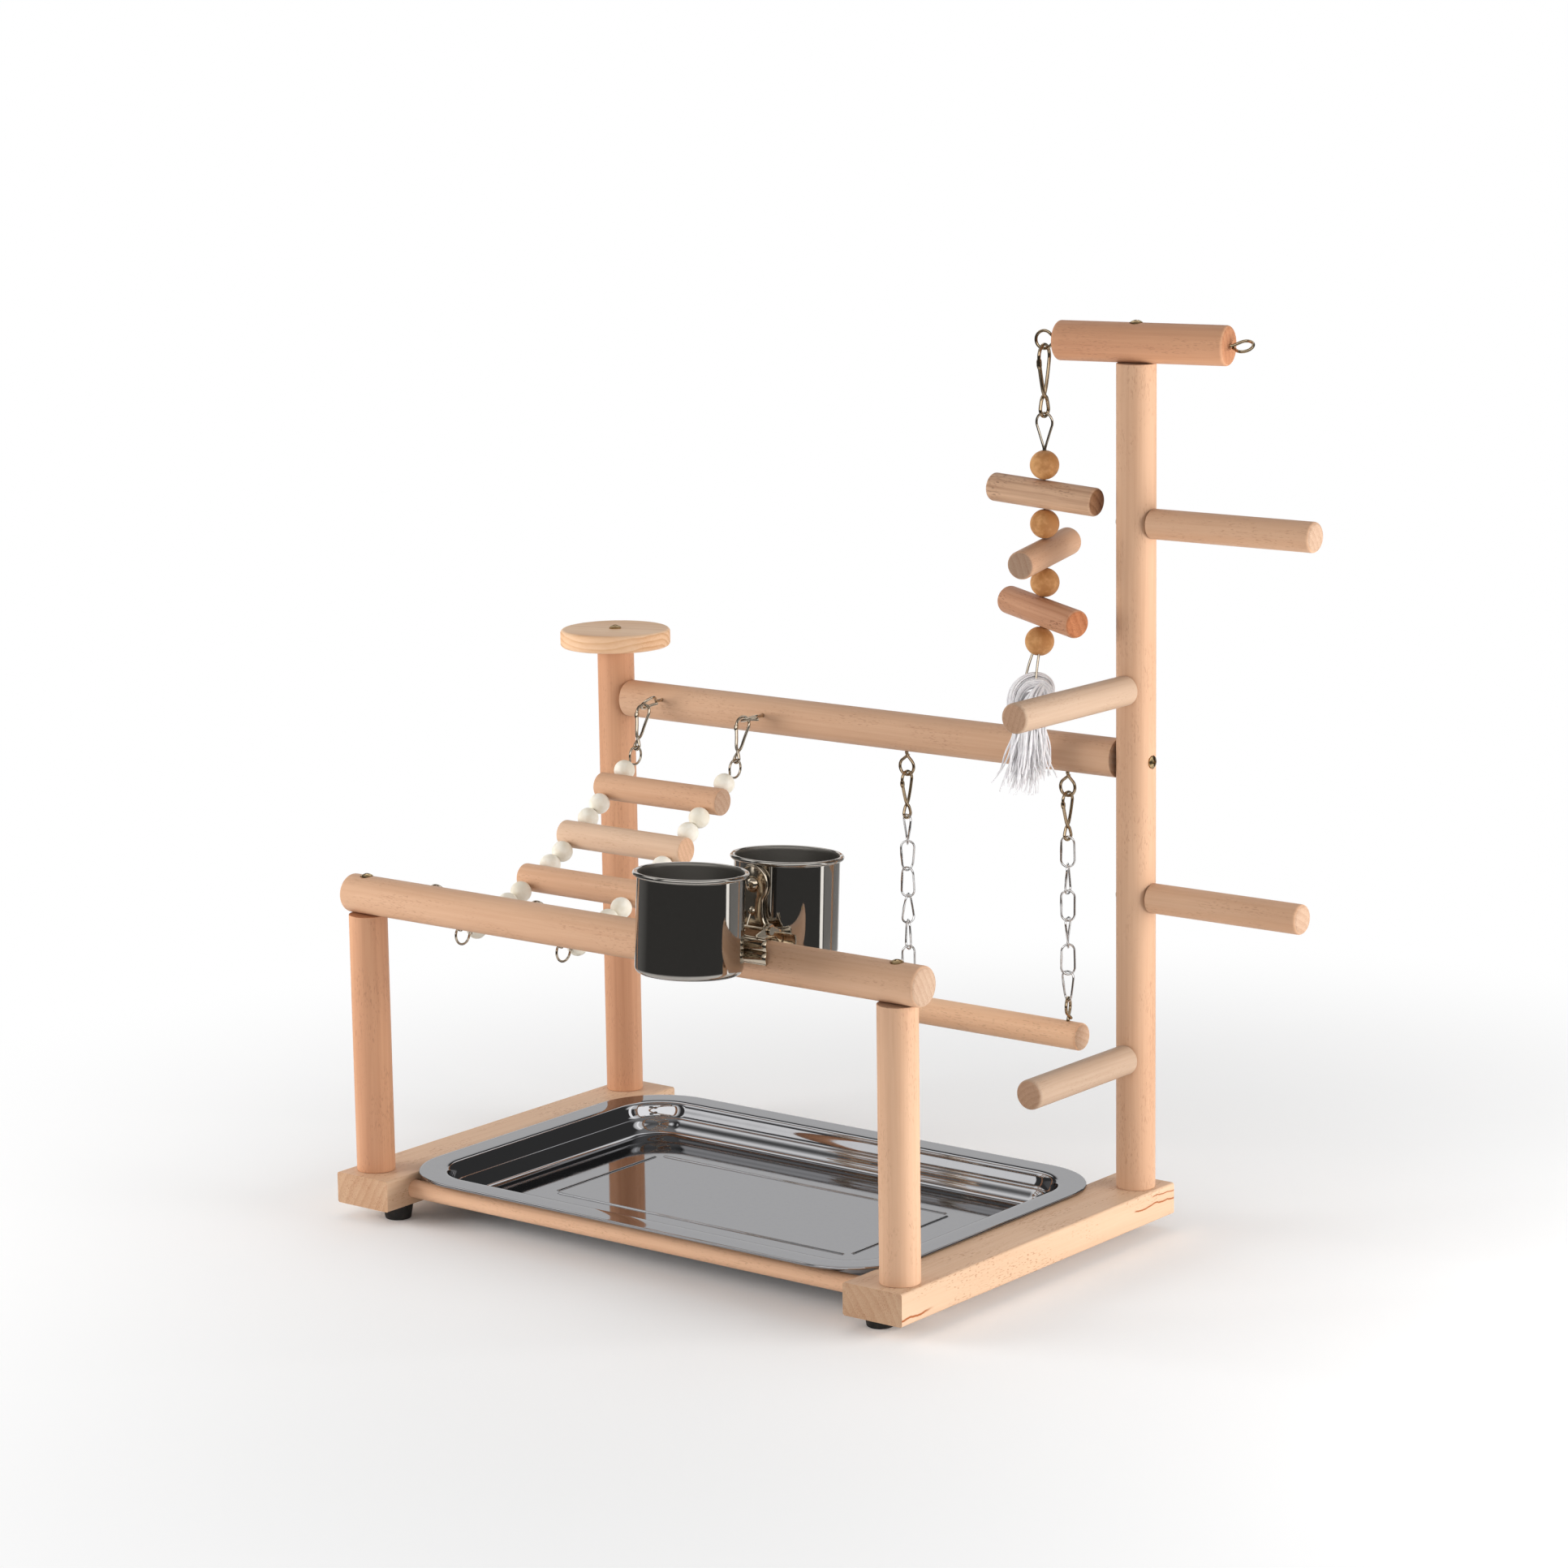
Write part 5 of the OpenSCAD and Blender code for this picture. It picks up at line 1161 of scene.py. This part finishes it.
def cup(s, side, body, nodeName):
    r, w, c, b, height, dish = (s[k] for k in ("radius", "wall", "corner", "bead", "height", "dish"))
    rim = (r + s["beadOut"], height - b)
    profile = [(0.0, dish), (r - 9.5, dish), (r - 8.2, dish * 0.8), (r - 6.6, 0.12), (r - 5.6, 0.0)]
    profile += arcPoints((r - c, c), c, -90, 0, 9)
    profile += [(r, c + 0.6), (r, rim[1] - b - 0.5), (r, rim[1] - b + 0.1)]
    profile += arcPoints(rim, b, -112, 90, 18)
    profile += [(rim[0] - 0.8, height - 0.13), (r - 0.45, height - 0.62), (r - w + 0.03, height - 1.4),
                (r - w, height - 2.6), (r - w, c + 0.6)]
    profile += arcPoints((r - c, c), c - w, 0, -90, 8)
    profile += [(r - 5.6, w), (r - 6.6, w + 0.12), (r - 8.2, w + dish * 0.8), (r - 9.5, w + dish),
                (0.0, w + dish)]
    points, faces = spun(profile, 128, False)
    place = clipPlace @ moved(0, side * s["fromPin"], -s["low"])
    # cup steel with painted shade and reflection inside
    steel = cupMaterial(nodeName + "_steel", place @ Vector((0, 0, height / 2)), paintedCupInside)
    piece = newPiece(nodeName + "_spun", [place @ Vector(p) for p in points], faces, steel)
    finished(piece, body, "cup_steel", nodeName)


cup(cupSizes, -1, "front_holder", "front_cup")
cup(cupSizes, 1, "rear_holder", "rear_cup")
print("cups made")

# Toy, from the hook in the top perch's left eye down to the tassel
toySizes = {"play": 0.3, "loop": 6.0, "foot": 15.6, "wire": 0.8, "cadWire": 1.6, "twist": 3.0, "bead": 18.5,
            "bore": 1.2, "stick": 18.0, "lean": 6.0, "knotGap": 8.0, "knot": 28.0, "spread": 4.0}
toyX, toyY, toyEyeZ = (standFrame.inverted() @ toyEye).to_translation()
toyPivotZ = toyEyeZ - eyeSizes["ring"]


def toyPlaces(s):  # the loop's middle, the four beads and the tassel's top
    hookWire = hookSizes["large"]["cadWire"]
    loopTop = toyPivotZ - hookDrop("large", linkPlay) + (hookWire + s["cadWire"]) / 2 + linkPlay
    loopZ = loopTop - s["loop"]
    firstZ = loopZ - s["foot"] - (s["twist"] + s["bead"]) / 2 - s["play"]
    pitch = s["bead"] + s["stick"] + 2 * s["play"]
    beads = [Vector((toyX, toyY, firstZ - k * pitch)) for k in range(3)]
    beads.append(beads[2] + Vector((0, -s["lean"], -math.sqrt(pitch ** 2 - s["lean"] ** 2))))
    tasselY = postY - postRadius - s["play"] - s["knot"] / 2
    return loopZ, beads, Vector((toyX, tasselY, beads[3].z - s["bead"] / 2 - s["knotGap"]))


toyLoopZ, toyBeadPlaces, tasselTop = toyPlaces(toySizes)


def toyWire(s):
    foot, low = toyLoopZ - s["foot"], toyBeadPlaces[3]
    loop = [(toyX - 0.55, toyY, foot - 2.0), (toyX - 0.6, toyY, foot)]
    loop += [(toyX + x, toyY, z) for x, z in arcPoints((0, toyLoopZ), s["loop"], 202, -22, 22)]
    loop += [(toyX + 0.6, toyY, foot), (toyX + 0.55, toyY, foot - 2.0)]
    line = [(toyX, toyY, foot - 1.5), toyBeadPlaces[2], low]
    runs = [placedRun(standFrame, softened(loop, 1)), placedRun(standFrame, softened(line))]
    for side in (-1, 1):
        strand = [low + toRight * side * 1.2, low.lerp(tasselTop, 0.6) + toRight * side * 2.9,
                  tasselTop + Vector((side * s["spread"], 0, -5))]
        runs.append(placedRun(standFrame, softened(strand)))
    finished(wirePiece("toy_wire_bent", runs, s["wire"], nickel), "toy_string", "nickel", "toy_wire")


def toyBeads(s):
    lowWay = (toyBeadPlaces[2] - toyBeadPlaces[3]).normalized()
    places = [along(way, standFrame @ p) for way, p in zip((toTop, toTop, toTop, lowWay), toyBeadPlaces)]
    piece = repeatPiece("toy_beads_turned", beadShape(s["bead"], s["bore"], 0.9), places, ochreBead)
    finished(piece, "toy_string", "stained_beads", "toy_beads")


toyHook = standFrame @ moved(toyX, toyY, toyPivotZ) @ turned(0, 0, 90 + perchSizes["turn"])
snapHooks("toy_snap_hook", "toy_hook", "large", agedNickel, linkPlay, [toyHook])
toyWire(toySizes)
toyBeads(toySizes)

tasselSizes = {"seed": 11, "folds": 38, "skirt": 120, "hairs": 60, "yarn": 0.68, "length": 79.0, "steps": 12,
               "skirtRadius": 9.0, "skirtTop": -20.0, "lean": -4.5, "flatness": 0.6, "tipThick": 0.6,
               "topThick": 1.1, "hairThick": 0.38, "hairDrop": 20.0}


def tassel(s):  # a folded bundle of yarn for the knot, and a skirt of yarns with frayed ends
    pick = random.Random(s["seed"])
    across = Vector((viewRight.x, viewRight.y, 0)).normalized()
    deep = Vector((-across.y, across.x, 0))
    place = standFrame @ Matrix.Translation(tasselTop)
    runs = []

    def put(line, thick):
        runs.append(placedRun(place, softened(line, 1), False, thick))

    def spot(a, d, z):
        return across * a + deep * d + toTop * z

    def bundle(path, width, count, twist):
        path = softened([spot(*p) for p in path])
        for _ in range(count):
            radius, phase = width * math.sqrt(pick.random()), pick.uniform(0, 2 * math.pi)
            line = []
            for i, p in enumerate(path):
                way = (path[min(i + 1, len(path) - 1)] - path[max(i - 1, 0)]).normalized()
                side = way.cross(deep).normalized()
                angle = phase + math.radians(twist) * i / len(path)
                squeeze = 1 - 0.45 * abs(2 * i / (len(path) - 1) - 1) ** 3
                line.append(p + squeeze * radius * (side * math.cos(angle) + deep * 0.8 * math.sin(angle)))
            put(line, pick.uniform(0.9, 1.25))

    def skirtYarn():
        angle, radius = pick.uniform(0, 2 * math.pi), s["skirtRadius"] * math.sqrt(pick.random())
        end = -s["length"] * (pick.uniform(0.76, 0.93) - 0.05 * math.cos(angle))
        flare, lean = pick.uniform(0.8, 1.75), s["lean"] * pick.random()
        waves = [(pick.uniform(0.3, 1.3), pick.uniform(6, 14), pick.uniform(0, 6.28)) for _ in range(2)]
        line = []
        for i in range(s["steps"] + 1):
            t = i / s["steps"]
            spread = radius * (1 + (flare - 0.4) * t * t)
            wobble = [size * math.sin(t * count + phase) * t for size, count, phase in waves]
            line.append(spot(spread * math.cos(angle) + lean * t * t + wobble[0] * 1.6,
                             s["flatness"] * spread * math.sin(angle) + wobble[1],
                             s["skirtTop"] + (end - s["skirtTop"]) * t))
        last = len(softened(line, 1)) - 1
        thinner = s["topThick"] - s["tipThick"]
        put(line, [s["topThick"] - thinner * (i / last) ** 3 for i in range(last + 1)])

    def looseHair():
        angle, radius = pick.uniform(0, 2 * math.pi), pick.uniform(2.0, 8.5)
        start = -s["length"] * pick.uniform(0.45, 0.85)
        out = pick.uniform(0.5, 4.0)
        line = []
        for t in (0, 0.25, 0.5, 0.75, 1):
            reach = radius + out * t * t
            line.append(spot(reach * math.cos(angle) - 4 * t, s["flatness"] * reach * math.sin(angle),
                             max(-s["length"] + 0.2, start - s["hairDrop"] * t)))
        put(line, s["hairThick"])

    bundle([(-11, 0, -28), (-11.5, 0, -20), (-7.5, 0, -10), (1, 0, -5.6), (9, 0, -7.5), (11.5, 0, -14),
            (8, 0, -23), (2, 1, -29)], 4.8, s["folds"], 130)
    bundle([(-5, -4, -30), (-2, -5.5, -21), (3, -5, -14), (7, -3, -9)], 4.0, s["folds"] // 2, 90)
    bundle([(-10, 3, -25), (0, 6, -17), (8, 4, -25)], 4.2, s["folds"] // 2, 90)
    for _ in range(s["skirt"]):
        skirtYarn()
    for _ in range(s["hairs"]):
        looseHair()
    piece = wirePiece("toy_tassel_yarn", runs, s["yarn"], cotton, 6)
    finished(piece, "toy_string", "cotton", "toy_tassel")


tassel(tasselSizes)
print("toy made")

# Floor, world and lamps
cameraWay = Vector((viewBack.x, viewBack.y, 0)).normalized()
studioBase = 0.065  # the level toward the camera and wherever no panel is
studioPanels = [  # degrees right of the camera from and to, height from and to as a sine, soft edges, level
    (152, 200, -1.0, 0.4, 5, 0.05, 1.0),  # the white backdrop
    (-200, -152, -1.0, 0.4, 5, 0.05, 1.0),
    (74, 82, -0.6, 0.8, 1.2, 0.05, 1.9),  # a lit edge on the right
    (84, 150, -0.6, 0.08, 3, 0.04, 0.3),  # a grey flat on the right
    (-150, -96, -0.6, 0.2, 25, 0.05, 0.16),  # a dark flat on the left
    (-79.0, -74.4, 0.1, 0.6, 1.0, 0.06, 1.4),  # a thin lamp on the left
    (-125, -88, 0.45, 0.8, 8, 0.05, 1.4),  # a high lamp on the left
    (55, 92, 0.45, 0.8, 6, 0.05, 1.2),  # a high lamp on the right
    (-60, 60, 0.24, 0.7, 8, 0.05, 1.9),  # a lamp above the camera
    (150, 200, 0.55, 0.85, 5, 0.05, 1.5),  # a lamp above the backdrop
    (-200, -150, 0.55, 0.85, 5, 0.05, 1.5),
    (-200, 200, 0.75, 2.0, 1, 0.15, 0.35)]  # the ceiling


def studioLevel(tree, way):  # what the metal shows: dark toward the camera and white behind the object
    side = vectorCalc(tree, "DOT_PRODUCT", way, tuple(viewRight))
    front = vectorCalc(tree, "DOT_PRODUCT", way, tuple(cameraWay))
    angle = calc(tree, "DEGREES", calc(tree, "ARCTAN2", side, front))
    height = vectorCalc(tree, "DOT_PRODUCT", way, tuple(toTop))
    level = studioBase
    for left, right, low, high, softAngle, softHeight, strength in studioPanels:
        across = product(tree, ease(tree, angle, left - softAngle, left + softAngle),
                         ease(tree, angle, right - softAngle, right + softAngle, 1.0, 0.0))
        upright = product(tree, ease(tree, height, low - softHeight, low + softHeight),
                          ease(tree, height, high - softHeight, high + softHeight, strength, 0.0))
        level = highest(tree, level, product(tree, across, upright))
    return level


floorSettings = {"half": 6.0, "color": (254, 254, 254), "mottle": 0.1, "mottleShare": 0.97,
                 "middle": (0.1, 0.0, 0.0), "whiteFrom": 0.3, "whiteTo": 0.95}


def addFloor(s):  # it turns white away from the object, and in the metal it shows the studio
    h = s["half"]
    floor = newPiece("floor", [(-h, -h, 0), (h, -h, 0), (h, h, 0), (-h, h, 0)], [(0, 1, 2, 3)])
    material, tree, shader = newMaterial("paleFloor", Roughness=0.9, Specular_IOR_Level=0.1)
    coordinates = tree.nodes.new("ShaderNodeTexCoord").outputs["Object"]
    mottle = product(tree, noise(tree, coordinates, (3.0, 3.0, 3.0)), s["mottle"])
    plug(tree, mixColors(tree, mottle, paint(*s["color"]), paint(*s["color"], s["mottleShare"])),
         shader.inputs["Base Color"])
    rays = tree.nodes.new("ShaderNodeLightPath").outputs
    glossy = rays["Is Glossy Ray"]
    seen = highest(tree, rays["Is Camera Ray"], glossy, rays["Is Transmission Ray"])
    gap = vectorCalc(tree, "LENGTH", vectorCalc(tree, "SUBTRACT", coordinates, s["middle"]))
    glow = tree.nodes.new("ShaderNodeEmission")
    plug(tree, highest(tree, studioLevel(tree, coordinates), less(tree, 1.0, glossy)),
         glow.inputs["Strength"])
    mix = tree.nodes.new("ShaderNodeMixShader")
    plug(tree, product(tree, ease(tree, gap, s["whiteFrom"], s["whiteTo"]), seen), mix.inputs[0])
    tree.links.new(shader.outputs[0], mix.inputs[1])
    tree.links.new(glow.outputs[0], mix.inputs[2])
    tree.links.new(mix.outputs[0], tree.nodes["Material Output"].inputs["Surface"])
    floor.data.materials.append(material)


addFloor(floorSettings)

worldSettings = {"ambient": 0.59, "zenith": 0.32}


def addWorld(s):  # white where it is seen, plain light on the object, and the studio in the metal
    world = bpy.data.worlds.new("studio")
    scene.world = world
    world.use_nodes = True
    tree = world.node_tree
    background = tree.nodes["Background"]
    way = tree.nodes.new("ShaderNodeTexCoord").outputs["Generated"]
    rays = tree.nodes.new("ShaderNodeLightPath").outputs
    up = vectorCalc(tree, "DOT_PRODUCT", way, tuple(toTop))
    plain = ease(tree, up, 0.1, 0.8, s["ambient"], s["zenith"])
    glossy = rays["Is Glossy Ray"]
    level = total(tree, product(tree, glossy, studioLevel(tree, way)),
                  product(tree, less(tree, 1.0, glossy), plain))
    seen = highest(tree, rays["Is Camera Ray"], rays["Is Transmission Ray"])
    plug(tree, total(tree, seen, product(tree, less(tree, 1.0, seen), level)), background.inputs["Strength"])
    background.inputs["Color"].default_value = (1, 1, 1, 1)


addWorld(worldSettings)

lamps = {  # place and aim in metres, width, height, watts
    "rightBox": ((1.3, 0.35, 0.34), (0.05, 0.0, 0.2), 1.1, 0.64, 19.0),
    "leftBox": ((-1.2, -0.95, 0.45), (-0.1, -0.05, 0.2), 1.0, 0.8, 18.0),
    "topBox": ((-0.3, 0.1, 2.2), (0.0, 0.0, 0.0), 1.4, 1.4, 6.0),
}
for name, (place, aim, width, height, watts) in lamps.items():
    data = bpy.data.lights.new(name, "AREA")
    data.shape = "RECTANGLE"
    data.size, data.size_y, data.energy = width, height, watts
    lamp = linked(name, data)
    lamp.location = place
    lamp.rotation_euler = (Vector(aim) - Vector(place)).to_track_quat("-Z", "Y").to_euler()
    lamp.visible_camera = lamp.visible_glossy = False  # the metal shows the studio's panels instead
scene.view_settings.view_transform = "Standard"
print("floor, world and lamps placed")
